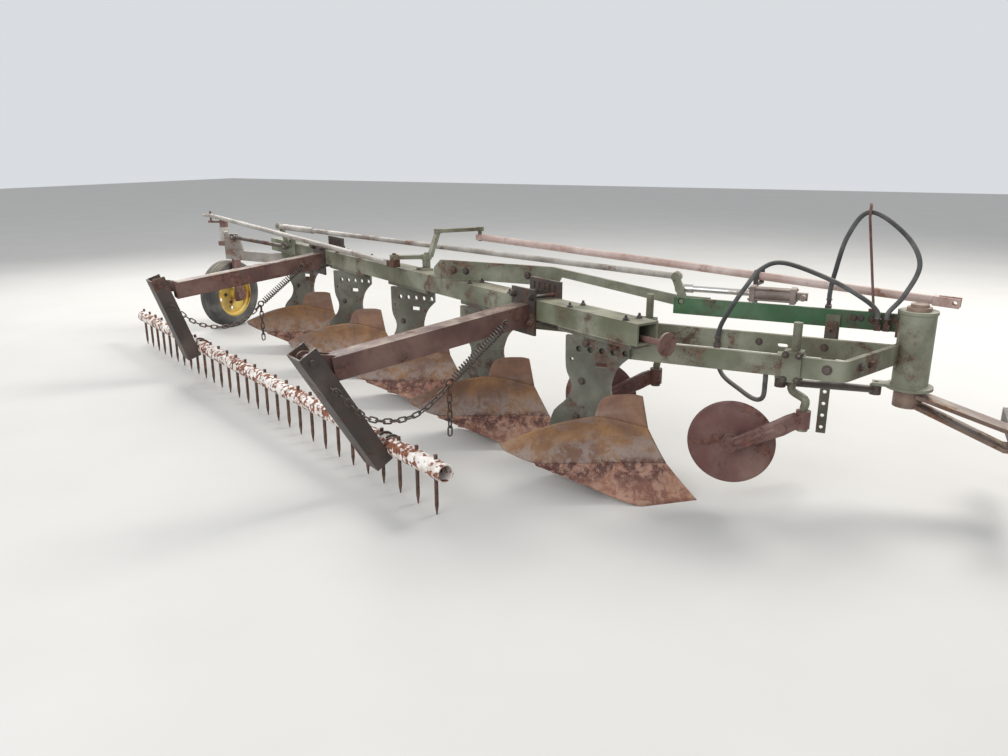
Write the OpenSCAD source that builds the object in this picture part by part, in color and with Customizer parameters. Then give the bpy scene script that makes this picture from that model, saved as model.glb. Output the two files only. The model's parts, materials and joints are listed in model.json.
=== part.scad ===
// Semi-mounted moldboard plough with five bottoms on a slanting tube, a spike harrow beside it,
// a steered tail wheel and a two-point hitch. Millimetres, +X forward, +Y left, +Z up.
// Everything is drawn over the ground, from the first share's point, and moved at the end so that
// the origin lies midway between the two lower link pins.

/* [Bottoms] */
// Number of bottoms
bottoms = 5; // [3:1:5]
// Step from one bottom back to the next
step_back = 761; // [740:1:790]
// Step sideways, the width of one furrow
step_side = 411; // [400:1:430]
// Thickness of a standard
standard_t = 24; // [16:1:26]
// Thickness of a moldboard
moldboard_t = 9; // [6:0.5:12]
// Thickness of a share
share_t = 10; // [8:0.5:13]
// Thickness of a landside
landside_t = 12; // [8:1:14]
// Height of a landside
landside_h = 100; // [80:1:110]

/* [Main tube] */
// Width of the tube
tube_w = 127; // [110:1:140]
// Height of the tube
tube_h = 100; // [90:1:120]
// Wall of the tube
tube_wall = 10; // [6:1:14]
// Underside of the tube over the ground
tube_z = 750; // [740:1:780]
// Rear end of the tube, from the first standard
tube_rear = 4050; // [4030:10:4100]
// Front end of the tube, ahead of the first standard
tube_front = 285; // [270:5:330]

/* [Front frame] */
// Thickness of the rails
rail_t = 25; // [18:1:30]
// Height of the rails
rail_h = 90; // [70:1:100]
// Outer radius of the hitch post
post_r = 77; // [72:1:84]
// Wall of the hitch post
post_wall = 10; // [7:1:12]
// Height of the hitch post
post_h = 335; // [300:5:345]
// Radius of the hitch spindle
spindle_r = 38; // [30:1:42]
// Diameter of the stay rod
stay_d = 35; // [25:1:40]
// Thickness of the lift plate
lift_plate_t = 20; // [12:1:20]
// Height of the lift plate
lift_plate_h = 84; // [70:1:84]

/* [Hitch] */
// Spread of the lower link pins
pin_spread = 825; // [785:5:870]
// Radius of a lower link pin
pin_r = 14.2; // [14:0.1:18.2]
// Height of the pins over the ground
hitch_z = 345; // [335:5:360]
// Length of the tongue from post to crossbar
tongue_l = 462; // [440:1:500]
// Side of the square crossbar
crossbar_w = 70; // [60:1:76]

/* [Tail wheel] */
// Radius of the tyre
tyre_r = 300; // [285:1:310]
// Width of the tyre
tyre_w = 160; // [140:1:180]
// Radius of the rim's seat
rim_r = 200; // [190:1:210]

/* [Coulters] */
// Radius of a coulter disc
disc_r = 194; // [180:1:205]
// Thickness of a coulter disc
disc_t = 5; // [4:0.5:7]

/* [Harrow] */
// Pitch of the spikes
spike_pitch = 152; // [140:1:170]
// Diameter of a spike
spike_d = 18; // [14:1:20]
// Outer diameter of the harrow pipe
pipe_d = 86; // [80:1:92]
// Wall of the harrow pipe
pipe_wall = 6; // [4:0.5:9]
// Height of an arm
arm_h = 110; // [90:1:112]
// Width of an arm
arm_w = 102; // [80:1:104]

/* [Linkage] */
// Outer diameter of the steering pipes
steer_d = 42; // [36:1:46]
// Diameter of the lift rod
lift_rod_d = 34; // [28:1:38]
// Length of both lift levers, pivot to rod
lever_l = 124; // [115:1:126]
// Outer diameter of the cylinder barrel
barrel_d = 76; // [66:1:80]
// Diameter of the cylinder rod
piston_d = 32; // [26:1:36]

/* [Hidden] */
$fn = 48;
fit = 0.08;
seat = 0.3;
eye_gap = 0.3;

// The tube's line: it crosses the first standard at this point.
tube_x = -487;
tube_y = -4;
tube_top = tube_z + tube_h;
slant = atan2(step_side, step_back);
dir_s = [-cos(slant), sin(slant), 0];
dir_o = [sin(slant), cos(slant), 0];

// Plan positions on the left side
post_x = 828;
post_y = 480;
post_z = 538;
post_top = post_z + post_h;
lift_plate_y = post_y + post_r + seat;
brace_y = lift_plate_y + lift_plate_t + seat;
brace_t = 20;
hitch_x = post_x + tongue_l;

function at_tube(s, o, z) = [tube_x, tube_y, 0] + s * dir_s + o * dir_o + [0, 0, z];
function unit(v) = v / norm(v);
function mix(a, b, t) = a + (b - a) * t;
function bottom_at(i) = [-i * step_back, i * step_side, 0];

// Smooth curve through points: value at t from 0 to 1
function knot(p, i) = p[max(0, min(len(p) - 1, i))];
function smooth(p, t) =
    let (n = len(p) - 1, i = min(n - 1, floor(t * n)), f = t * n - i,
         a = knot(p, i - 1), b = knot(p, i), c = knot(p, i + 1), d = knot(p, i + 2))
    b + 0.5 * f * (c - a + f * (2 * a - 5 * b + 4 * c - d + f * (3 * (b - c) + d - a)));

module slant_frame() {
    translate([tube_x, tube_y, 0]) rotate([0, 0, 180 - slant]) mirror([0, 1, 0]) children();
}

// A plate from an outline in x and z, from y0 to y0 + t
module upright_plate(y0, t) {
    translate([0, y0 + t, 0]) rotate([90, 0, 0]) linear_extrude(t) children();
}

module round_bar(a, b, r) {
    d = b - a;
    translate(a) rotate([0, acos(d[2] / norm(d)), atan2(d[1], d[0])]) cylinder(h = norm(d), r = r);
}

// A flat bar from a to b, w wide across and h high
module flat_bar(a, b, w, h) {
    d = b - a;
    translate(a) rotate([0, -asin(d[2] / norm(d)), atan2(d[1], d[0])])
        translate([0, -w / 2, -h / 2]) cube([norm(d), w, h]);
}

module bar_bore(a, b, r) {
    round_bar(a - unit(b - a), b + unit(b - a), r);
}

// A pin or boss across the plough, from y0 to y1
module cross_pin(x, z, y0, y1, r) {
    translate([x, y1, z]) rotate([90, 0, 0]) cylinder(h = y1 - y0, r = r);
}

// A sheet between a front grid and a back grid of points
module sheet(front, back) {
    m = len(front);
    n = len(front[0]);
    points = concat([for (row = front) for (p = row) p], [for (row = back) for (p = row) p]);
    function f(i, j) = i * n + j;
    function b(i, j) = m * n + i * n + j;
    function quad(p, q, r, s) = [[p, q, r], [p, r, s]];
    faces = concat(
        [for (i = [0:m - 2]) for (j = [0:n - 2])
            each quad(f(i, j), f(i + 1, j), f(i + 1, j + 1), f(i, j + 1))],
        [for (i = [0:m - 2]) for (j = [0:n - 2])
            each quad(b(i, j), b(i, j + 1), b(i + 1, j + 1), b(i + 1, j))],
        [for (i = [0:m - 2]) each quad(f(i + 1, 0), f(i, 0), b(i, 0), b(i + 1, 0))],
        [for (i = [0:m - 2]) each quad(f(i, n - 1), f(i + 1, n - 1), b(i + 1, n - 1), b(i, n - 1))],
        [for (j = [0:n - 2]) each quad(f(0, j), f(0, j + 1), b(0, j + 1), b(0, j))],
        [for (j = [0:n - 2]) each quad(f(m - 1, j + 1), f(m - 1, j), b(m - 1, j), b(m - 1, j + 1))]);
    polyhedron(points, faces);
}

// A round tube swept through points, with flat ends
module swept_tube(path, r, sides, first, last) {
    n = len(path);
    function heading(i) = i == 0 && first != undef ? first :
        i == n - 1 && last != undef ? last :
        unit(path[min(n - 1, i + 1)] - path[max(0, i - 1)]);
    function side_of(h) = unit(cross(h, abs(h[2]) > 0.9 ? [0, 1, 0] : [0, 0, 1]));
    function carried(i, s) = unit(s - heading(i) * (s * heading(i)));
    function frames(i, s) = i == n ? [] :
        let (c = carried(i, s)) concat([c], frames(i + 1, c));
    sides_at = frames(0, side_of(heading(0)));
    points = [for (i = [0:n - 1]) let (u = sides_at[i], v = cross(heading(i), u))
        for (k = [0:sides - 1]) path[i] + r * (u * cos(360 * k / sides) + v * sin(360 * k / sides))];
    faces = concat(
        [[for (k = [0:sides - 1]) k]],
        [[for (k = [0:sides - 1]) (n - 1) * sides + sides - 1 - k]],
        [for (i = [0:n - 2]) for (k = [0:sides - 1]) let (q = (k + 1) % sides)
            each [[i * sides + k, (i + 1) * sides + k, (i + 1) * sides + q],
                  [i * sides + k, (i + 1) * sides + q, i * sides + q]]]);
    polyhedron(points, faces);
}

// Frame
module tube_cut(length, from) {
    translate([from, -tube_w / 2, tube_z]) cube([length, tube_w, tube_h]);
}

module main_tube() {
    hole = 34;
    inner_w = tube_w - 2 * tube_wall;
    color("darkolivegreen") slant_frame() difference() {
        tube_cut(tube_front + tube_rear, -tube_front);
        translate([-tube_front - 1, -inner_w / 2, tube_z + tube_wall])
            cube([tube_front + tube_rear + 2, inner_w, tube_h - 2 * tube_wall]);
        translate([1930, -hole / 2, tube_top - tube_wall - 1]) cube([hole, hole, tube_wall + 2]);
    }
}

rail_z = tube_z - 20 - rail_h;
rail_bend_x = 545;
rail_bend_r = 20;
rail_turn = 66;
rail_face = -2;
cross_l = 482;

function rail_bend(r) = [for (k = [0:8]) let (t = rail_turn * k / 8 - 90)
    [rail_bend_x + r * cos(t), rail_face + rail_t + rail_bend_r + r * sin(t)]];

module near_rail() {
    outer = rail_bend(rail_bend_r + rail_t);
    inner = rail_bend(rail_bend_r);
    reach = cross_l * [cos(rail_turn), sin(rail_turn)];
    color("darkolivegreen") difference() {
        translate([0, 0, rail_z]) linear_extrude(rail_h) polygon(concat(
            [[-640, rail_face]], outer, [outer[8] + reach, inner[8] + reach],
            [for (k = [8:-1:0]) inner[k]], [[-640, rail_face + rail_t]]));
        translate([post_x, post_y, rail_z - 1]) cylinder(h = rail_h + 2, r = post_r + seat);
        for (x = [-560, -420]) cross_pin(x, rail_z + 60, rail_face - 1, rail_face + rail_t + 1, 11);
    }
}

// Where the cross member's rear face lies at y
function cross_rear_x(y) = let (a = rail_turn - 90,
    x0 = rail_bend_x + rail_bend_r * cos(a),
    y0 = rail_face + rail_t + rail_bend_r + rail_bend_r * sin(a)) x0 + (y - y0) / tan(rail_turn);

module far_rail() {
    y0 = step_side + rail_face;
    y1 = y0 + rail_t;
    color("darkolivegreen") difference() {
        translate([0, 0, rail_z]) linear_extrude(rail_h)
            polygon([[-1470, y0], [cross_rear_x(y0) - seat, y0], [cross_rear_x(y1) - seat, y1],
                     [-1470, y1]]);
        cross_pin(-38, rail_z + 64, y0 - 1, y1 + 1, 12);
        for (x = [255, 283]) cross_pin(x, rail_z + 40, y0 - 1, y1 + 1, 10);
        translate([255, y0 - 1, rail_z + 30]) cube([28, rail_t + 2, 20]);
    }
}

brace_front_x = -120;
brace_rear_x = -1734;
lever_foot_x = -262;
lever_foot_z = 826;

module left_brace() {
    color("darkolivegreen") difference() {
        upright_plate(brace_y, brace_t) polygon([
            [brace_rear_x, tube_top], [brace_rear_x, tube_top + 60], [-1690, tube_top + 105],
            [-985, tube_top + 105], [-290, 852], [brace_front_x, 850], [brace_front_x, 802],
            [-300, 802], [-930, 903], [-960, tube_top]]);
        for (x = [-1600, -1520, -1130])
            cross_pin(x, tube_top + 50, brace_y - 1, brace_y + brace_t + 1, 14);
        cross_pin(lever_foot_x, lever_foot_z, brace_y - 1, brace_y + brace_t + 1, 12 + fit);
    }
}

lift_plate_z = 846 - lift_plate_h;

module lift_plate() {
    color("green") difference() {
        translate([-300, lift_plate_y, lift_plate_z]) cube([1150, lift_plate_t, lift_plate_h]);
        for (x = [560, 590, 635])
            cross_pin(x, 815, lift_plate_y - 1, lift_plate_y + lift_plate_t + 1, 9);
        cross_pin(lever_foot_x, lever_foot_z, lift_plate_y - 1, lift_plate_y + lift_plate_t + 1, 16);
    }
}

foot_t = 13;
cap_t = 12;

module hitch_post() {
    color("olivedrab") difference() {
        union() {
            translate([post_x, post_y, post_z]) cylinder(h = post_h, r = post_r);
            translate([post_x, post_y, post_z - foot_t]) cylinder(h = foot_t, r = post_r + 24);
            translate([post_x, post_y, post_top]) cylinder(h = cap_t, r = post_r + 5);
            translate([672, post_y - 32, post_z - foot_t]) cube([post_x - 672, 64, foot_t]);
            translate([742, post_y + post_r - 14, 740]) cube([post_x - 742, 14, post_top - 740]);
        }
        translate([post_x, post_y, post_z]) cylinder(h = post_h, r = post_r - post_wall);
        translate([post_x, post_y, post_z - foot_t - 1])
            cylinder(h = post_h + foot_t + cap_t + 2, r = spindle_r + fit);
        translate([690, post_y, post_z - foot_t - 1]) cylinder(h = foot_t + 2, r = 11);
    }
}

stay_rear = [312, 60, 600];
stay_front = [690, post_y, 500];

module hitch_stay() {
    clamp_under = rail_z - 16;
    color("darkolivegreen") {
        difference() {
            union() {
                round_bar(stay_rear, stay_front, stay_d / 2);
                translate([stay_front[0], stay_front[1], stay_front[2] - 22])
                    cylinder(h = post_z - foot_t - seat - stay_front[2] + 22, r = 26);
                translate([stay_rear[0], stay_rear[1], stay_rear[2] - 22])
                    cylinder(h = clamp_under - seat - stay_rear[2] + 22, r = 24);
            }
            translate([stay_front[0], stay_front[1], stay_front[2] - 30]) cylinder(h = 80, r = 11);
        }
    }
}

// Bottoms
back_dir = unit([-0.45, 0.78, -0.43]);
joint_line = [[-155, 0, 158], [-340, -95, 163], [-520, -200, 166], [-700, -298, 172], [-845, -336, 226]];
board_top = [[-250, 0, 318], [-442, -100, 374], [-553, -170, 370], [-685, -260, 334], [-862, -332, 252]];
cutting_edge = [[0, 0, 0], [-188, -164, 1], [-240, -190, 6], [-340, -205, 28], [-455, -250, 82],
                [-630, -296, 146], [-688, -302, 160]];
trash_top = [[-282, 0, 470], [-330, -22, 479], [-428, -80, 475], [-462, -100, 440]];
board_sag = 30;
share_sag = 7;
board_m = 16;
board_n = 6;
share_m = 12;
share_n = 3;
trash_m = 5;
share_span = share_m / board_m;
trash_span = trash_m / board_m;

function board_at(u, v) = mix(smooth(joint_line, u) + [0, 0, seat], smooth(board_top, u), v)
    + 4 * v * (1 - v) * board_sag * sin(180 * min(1, u + 0.08)) * back_dir;
function share_at(u, v) = mix(smooth(cutting_edge, u), smooth(joint_line, share_span * u), v)
    + 4 * v * (1 - v) * share_sag * back_dir;
function trash_at(u, v) =
    mix(smooth(board_top, trash_span * u) + [0, 0, seat], smooth(trash_top, u), v);

function grid(kind, u0, u1, m, v0, v1, n, depth) =
    [for (i = [0:m]) [for (j = [0:n]) let (u = mix(u0, u1, i / m), v = mix(v0, v1, j / n))
        (kind == "board" ? board_at(u, v) : kind == "share" ? share_at(u, v) : trash_at(u, v))
        + depth * back_dir]];

// A sheet of one kind between two depths; its ends are named in steps of that kind's own grid
module skin(kind, from, to, i0, i1, m, j0, j1, n) {
    sheet(grid(kind, i0 / m, i1 / m, i1 - i0, j0 / n, j1 / n, j1 - j0, from),
          grid(kind, i0 / m, i1 / m, i1 - i0, j0 / n, j1 / n, j1 - j0, to));
}

module at_bottoms() {
    for (i = [0:bottoms - 1]) translate(bottom_at(i)) children();
}

module moldboards() {
    color("peru") at_bottoms() skin("board", 0, moldboard_t, 0, board_m, board_m, 0, board_n, board_n);
}

module shares() {
    color("saddlebrown") at_bottoms() skin("share", 0, share_t, 0, share_m, share_m, 0, share_n, share_n);
}

module trash_boards() {
    color("sienna") at_bottoms() skin("trash", 0, 8, 0, trash_m, trash_m, 0, 3, 3);
}

landside_z = 10;

module landsides() {
    color("sienna") at_bottoms() upright_plate(-landside_t, landside_t)
        polygon([[-60, landside_z], [-165, landside_z + landside_h], [-715, landside_z + landside_h],
                 [-730, landside_z + 60], [-730, landside_z]]);
}

standard_front = [[-330, 110], [-330, 230], [-370, 330], [-420, 430], [-434, 487], [-429, 532],
                  [-402, 596], [-348, 650]];
standard_rear = [[-663, 679], [-658, 566], [-628, 491], [-650, 420], [-722, 340], [-735, 230],
                 [-700, 110]];
flange_l = 500;
flange_t = 20;
standard_face = rail_face;

module standard_plate() {
    foot = landside_z + landside_h;
    top = tube_z - flange_t;
    row_z = top - 60;
    front = [for (i = [0:20]) smooth(standard_front, i / 20)];
    rear = [for (i = [0:20]) smooth(standard_rear, i / 20)];
    outline = concat([[front[0][0], foot]], [for (p = front) if (p[1] > foot) p],
        [[-348, top], [-663, top]], [for (p = rear) if (p[1] > foot) p], [[rear[20][0], foot]]);
    upright_plate(standard_face - standard_t, standard_t) difference() {
        polygon(outline);
        for (x = [-595:57:-367]) translate([x, row_z]) circle(r = 15);
        for (p = [[-631, 616], [-576, 514], [-500, 330], [-600, 330]]) translate(p) circle(r = 9);
        translate([-515, 588]) square([62, 26]);
    }
}

// A patch that follows the working face from behind, and the rib that joins it to the standard
module bearer(kind, i0, i1, m, j0, j1, n, face_t, foot) {
    pad_t = 14;
    from = face_t + seat;
    u = (i0 + i1) / 2 / m;
    v = (j0 + j1) / 2 / n;
    middle = (kind == "board" ? board_at(u, v) : share_at(u, v)) + (from + pad_t) * back_dir;
    difference() {
        union() {
            skin(kind, from, from + pad_t, i0, i1, m, j0, j1, n);
            round_bar(middle, [foot[0], standard_face, foot[1]], 12);
        }
        translate([-900, standard_face - standard_t - seat, 0]) cube([900, standard_t + 200, 500]);
    }
}

module standards() {
    color("darkolivegreen") at_bottoms() {
        standard_plate();
        slant_frame() translate([-flange_l / 2, -tube_w / 2, tube_z - flange_t])
            cube([flange_l, tube_w, flange_t]);
    }
}

module board_brackets() {
    color("dimgray") at_bottoms() {
        bearer("share", 4, 6, share_m, 1, 2, share_n, share_t, [-400, 150]);
        bearer("board", 2, 5, board_m, 1, 3, board_n, moldboard_t, [-400, 250]);
        bearer("board", 9, 11, board_m, 2, 4, board_n, moldboard_t, [-640, 300]);
    }
}

// Harrow arms, springs and chains
// Columns: root along the tube, pivot along the tube
ARMS = [[515, 560], [3045, 3090]];
arm_drop = 7;
arm_root_z = 770;
pivot_o = -1231;
pivot_z = 693;
pivot_r = 15;
plate_t = 14;
arm_end_o = -1125;
plate_o = -tube_w / 2 - seat - plate_t;
stud_r = 10;
lug_t = 12;
arm_skew = (ARMS[0][1] - ARMS[0][0]) / (plate_o - pivot_o);

function arm_axis(i, o) =
    [ARMS[i][0] + (plate_o - o) * arm_skew, o, arm_root_z - (plate_o - o) * tan(arm_drop)];

module harrow_arm(i) {
    lug_o = arm_w / 2 - lug_t - 6;
    pin_at = arm_axis(i, -235);
    difference() {
        union() {
            flat_bar(arm_axis(i, plate_o + 60), arm_axis(i, arm_end_o), arm_w, arm_h);
            for (side = [-1, 1]) hull() {
                for (o = [arm_end_o + 130, pivot_o])
                    translate([ARMS[i][1] + side * lug_o, o, o == pivot_o ? pivot_z : 640])
                        rotate([0, 90, 0]) cylinder(h = lug_t, r = 34, center = true, $fn = 32);
            }
        }
        translate([ARMS[i][0] - arm_w, plate_o, 500]) cube([2 * arm_w, 200, 500]);
        translate([ARMS[i][1], pivot_o, pivot_z]) rotate([0, 90, 0])
            cylinder(h = 200, r = pivot_r + fit, center = true);
    }
    translate([pin_at[0] - arm_w / 2 - 46, pin_at[1], pin_at[2]]) rotate([0, 90, 0])
        cylinder(h = 70, r = 8);
}

module harrow_arms() {
    color("brown") slant_frame() for (i = [0, 1]) harrow_arm(i);
}

clamp_w = 2 * (arm_w / 2 + 44);
stud_s = arm_w / 2 + 22;
clamp_low = 669;
clamp_high = 903;

module arm_clamp(i) {
    s = ARMS[i][0];
    far_o = tube_w / 2 + seat;
    translate([s - clamp_w / 2, plate_o, clamp_low])
        cube([clamp_w, plate_t, clamp_high - clamp_low]);
    difference() {
        translate([s - clamp_w / 2 - 30, far_o, clamp_low + 20])
            cube([clamp_w + 60, plate_t, clamp_high - clamp_low + 10]);
        for (k = [-2:2]) translate([s + k * 42 - 7, far_o - 1, clamp_high - 30])
            cube([14, plate_t + 2, 40]);
    }
    for (x = [-stud_s, stud_s]) for (z = [tube_z - stud_r - 4, tube_top + stud_r + 4])
        translate([s + x, plate_o - 26, z]) rotate([-90, 0, 0])
            cylinder(h = far_o + plate_t + 26 - plate_o + 26, r = stud_r);
    for (x = [-stud_s, stud_s]) for (z = [tube_z - stud_r - 4, tube_top + stud_r + 4])
        for (o = [plate_o - 14, far_o + plate_t])
            translate([s + x, o, z]) rotate([-90, 0, 0]) cylinder(h = 14, r = 18, $fn = 6);
}

module arm_clamps() {
    color("dimgray") slant_frame() for (i = [0, 1]) arm_clamp(i);
}

wire_r = 4.5;
coil_r = 19;
coil_turns = 21;
ring_r = 19.4;
hook_pin_r = 8;

function hook_at(i) = arm_axis(i, -235) - [arm_w / 2 + 28, 0, 0];
function spring_end(i) = [hook_at(i)[0], -572, 503];

module arm_spring(i) {
    to = spring_end(i);
    along = unit(to - hook_at(i));
    from = hook_at(i) + (ring_r - wire_r - hook_pin_r - 0.05) * along;
    across = [1, 0, 0];
    up = cross(along, across);
    start = from + along * (ring_r + 6);
    finish = to - along * (ring_r + 6);
    steps = coil_turns * 10;
    coil = [for (k = [0:steps]) mix(start, finish, k / steps)
        + coil_r * (across * cos(36 * k) + up * sin(36 * k))];
    swept_tube(coil, wire_r, 6);
    for (p = [from, to]) translate(p) rotate([0, 90, 0])
        rotate_extrude() translate([ring_r, 0]) circle(r = wire_r, $fn = 24);
    for (p = [[from, start, coil[0]], [to, finish, coil[steps]]]) {
        inner = p[0] + unit(p[1] - p[0]) * ring_r;
        round_bar(inner, p[2], wire_r);
    }
}

module arm_springs() {
    color("dimgray") slant_frame() for (i = [0, 1]) arm_spring(i);
}

link_w = 11;
link_r = 4;
link_gap = 0.5;
link_step = 39.5;
chain_pin_r = 6;

// A link whose neighbours hook in at half a step from its middle
module chain_link(step) {
    straight = step / 2 + link_r + link_gap / 2 - link_w;
    for (e = [-1, 1]) translate([e * straight, 0, 0]) rotate([0, 0, e > 0 ? -90 : 90])
        rotate_extrude(angle = 180) translate([link_w, 0]) circle(r = link_r, $fn = 24);
    for (e = [-1, 1]) translate([-straight, e * link_w, 0]) rotate([0, 90, 0])
        cylinder(h = 2 * straight, r = link_r, $fn = 24);
}

function arcs(p, k = 0, out = [0]) =
    k >= len(p) - 1 ? out : arcs(p, k + 1, concat(out, [out[k] + norm(p[k + 1] - p[k])]));
function at_arc(p, c, d) =
    let (i = max([for (k = [0:len(c) - 2]) if (c[k] <= d) k]))
    mix(p[i], p[i + 1], (d - c[i]) / (c[i + 1] - c[i]));

// An even number of links, so that the last one stands square to the first
module chain_along(path) {
    c = arcs(path);
    whole = c[len(c) - 1];
    links = 2 * max(1, round(whole / link_step / 2));
    joints = [for (k = [0:links]) at_arc(path, c, min(whole - 0.001, k * whole / links))];
    for (k = [0:links - 1]) {
        d = joints[k + 1] - joints[k];
        translate((joints[k] + joints[k + 1]) / 2)
            rotate([0, -asin(d[2] / norm(d)), d[1] > 0 ? 90 : -90]) rotate([90 * (k % 2), 0, 0])
                chain_link(norm(d));
    }
}

module arm_chains() {
    color("dimgray") slant_frame() for (i = [0, 1]) {
        ring = spring_end(i);
        eye = chain_eye(i);
        s = ring[0];
        out = unit([0, -1, -1]);
        grip = ring + (ring_r - wire_r - 0.05) * out;
        bend = [s, mix(-895, eye[1], 0.45), 415];
        last = unit(eye - bend);
        swoop = [grip, grip + 40 * out, [s, -739, 385], [s, -875, 372],
                 bend, eye - 50 * last, eye + (chain_pin_r + 0.05) * last];
        chain_along([for (k = [0:120]) smooth(swoop, k / 120)]);
        low = ring - [0, 0, ring_r - wire_r - 0.05];
        chain_along([low, [s, low[1], 240]]);
    }
}

module pull_bolt() {
    rod_r = 14;
    head_r = 52;
    z = tube_z + tube_wall + rod_r + seat;
    color("maroon") slant_frame() {
        translate([-395, 0, z]) rotate([0, 90, 0]) cylinder(h = 360, r = rod_r);
        translate([-407, 0, z]) rotate([0, 90, 0]) cylinder(h = 12, r = head_r);
    }
}

// Coulters
coulter_x = 130;
coulter_y = 13.5;
coulter_z = 305;
coulter_yaw = 5.57;
swivel = [424, coulter_y, 475];
shank_r = 19;
clamp_x = 365;
clamp_y = rail_face + rail_t + seat + shank_r + 8;
clamp_bottom = rail_z - 16;
clamp_top = rail_z + 109;
clamp_depth = 2 * shank_r + 20;
strap_t = 12;

module coulter_shank() {
    curve = [for (k = [0:14]) smooth([[clamp_x, clamp_y, clamp_bottom + 2],
        [clamp_x, clamp_y, 570], [swivel[0], swivel[1], 545], [swivel[0], swivel[1], 505]], k / 14)];
    translate([clamp_x, clamp_y, clamp_bottom - 1])
        cylinder(h = tube_top + 20 - clamp_bottom + 1, r = shank_r);
    swept_tube(curve, shank_r - 1, 16);
    translate([swivel[0], swivel[1], swivel[2] - 62]) cylinder(h = 95, r = shank_r - 3);
    translate([swivel[0], swivel[1], swivel[2] - 70]) cylinder(h = 12, r = shank_r + 5);
    translate([clamp_x - 75, rail_face + rail_t + seat, clamp_bottom])
        cube([115, clamp_depth, rail_z + rail_h - clamp_bottom]);
    for (x = [clamp_x - 34, clamp_x + 20]) for (z = [rail_z - 9, rail_z + rail_h + 9])
        cross_pin(x, z, rail_face - strap_t - 14, rail_face + rail_t + 30, 7);
    translate([clamp_x - 45, rail_face + rail_t + seat, rail_z + rail_h - 2])
        cube([80, clamp_depth, clamp_top - rail_z - rail_h]);
    translate([clamp_x - 45, rail_face - strap_t - seat, rail_z - 20])
        cube([76, strap_t, rail_h + 40]);
}

module coulter_shanks() {
    color("darkolivegreen") for (i = [0, 1]) translate(bottom_at(i)) coulter_shank();
}

// Brackets on the tube
crank_s = 1662;
crank_o = 50;
crank_at = at_tube(crank_s, crank_o - 10, 0);
crank_z = tube_top + 65;
crank_t = 30;
crank_pin_r = 14;

module crank_post() {
    color("darkolivegreen") {
        slant_frame() translate([crank_s - 50, crank_o - 10 - 45, tube_top]) cube([100, 65, 12]);
        translate([crank_at[0], crank_at[1], tube_top + 11])
            cylinder(h = crank_z - seat - tube_top - 11, r = 25);
        translate([crank_at[0], crank_at[1], tube_top + 11])
            cylinder(h = crank_z + crank_t + 12 - tube_top - 11, r = crank_pin_r);
    }
}

lever_lean = 22;
lever_y = 1582;
lever_t = 16;
lever_x = -3720 + lever_l * sin(lever_lean);
lever_z = 870;
lever_pin_r = 12;

module lever_bracket() {
    s = (lever_x - tube_x) * dir_s[0] + (lever_y + 20 - tube_y) * dir_s[1];
    color("darkolivegreen") {
        slant_frame() translate([s - 60, -tube_w / 2 - seat - 12, tube_z + 10])
            cube([120, 12, 140]);
        cross_pin(lever_x, lever_z, lever_y + lever_t / 2 + seat, lever_y + 26, 22);
        cross_pin(lever_x, lever_z, lever_y - lever_t / 2 - 8, lever_y + 20, lever_pin_r);
    }
}

tail_x = -3835;
tail_y = 1790;
tail_z = 690;
beam_w = 50;
beam_h = 80;
tail_pin_r = 18;

module tail_bracket() {
    color("darkolivegreen") {
        difference() {
            for (y = [tail_y - beam_w / 2 - 6 - 15, tail_y + beam_w / 2 + 6])
                upright_plate(y, 15) polygon([
                    [tail_x - 45, tube_z], [tail_x - 30, tail_z - 40], [tail_x + 30, tail_z - 40],
                    [tail_x + 45, tube_z]]);
        }
        cross_pin(tail_x, tail_z, tail_y - beam_w / 2 - 30, tail_y + beam_w / 2 + 30, tail_pin_r);
    }
}

steer_rear = [-1713, 1130, 1032];
steer_front = [975, 665, 900];
function steer_at(x) = mix(steer_rear, steer_front,
    (x - steer_rear[0]) / (steer_front[0] - steer_rear[0]));
guide_x = 70;
guide_wall = 8;
pipe_sway = 38;
pipe_dip = 17;

// A stirrup wide enough for the sideways sweep of the steering pipe
module pipe_guide() {
    p = steer_at(guide_x);
    face = lift_plate_y + lift_plate_t + seat;
    along = unit(steer_front - steer_rear);
    room = steer_d / 2 + 1.5;
    low = room + pipe_dip;
    outer = room + guide_wall;
    color("dimgray") {
        translate([guide_x - 30, face, lift_plate_z + 14]) cube([60, 12, 65]);
        translate([guide_x - 10, face + 6, lift_plate_z + 30]) cube([20, p[1] - face - 16, 22]);
        round_bar([guide_x, p[1] - 20, lift_plate_z + 41], p - [0, 20, low + 4], 9);
        translate(p) rotate([0, 0, atan2(along[1], along[0])]) difference() {
            translate([-12, -outer, -low - guide_wall])
                cube([24, 2 * outer + pipe_sway, low + room + 2 * guide_wall]);
            translate([-13, -room, -low]) cube([26, 2 * room + pipe_sway, low + room]);
        }
    }
}

cylinder_y = brace_y + brace_t + 42;
cylinder_arm = 60;
cylinder_z = lever_foot_z + cylinder_arm * cos(lever_lean);
barrel_x0 = 72;
barrel_x1 = 286;

module along_x(x0, x1, y, z, r) {
    translate([x0, y, z]) rotate([0, 90, 0]) cylinder(h = x1 - x0, r = r);
}

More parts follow.
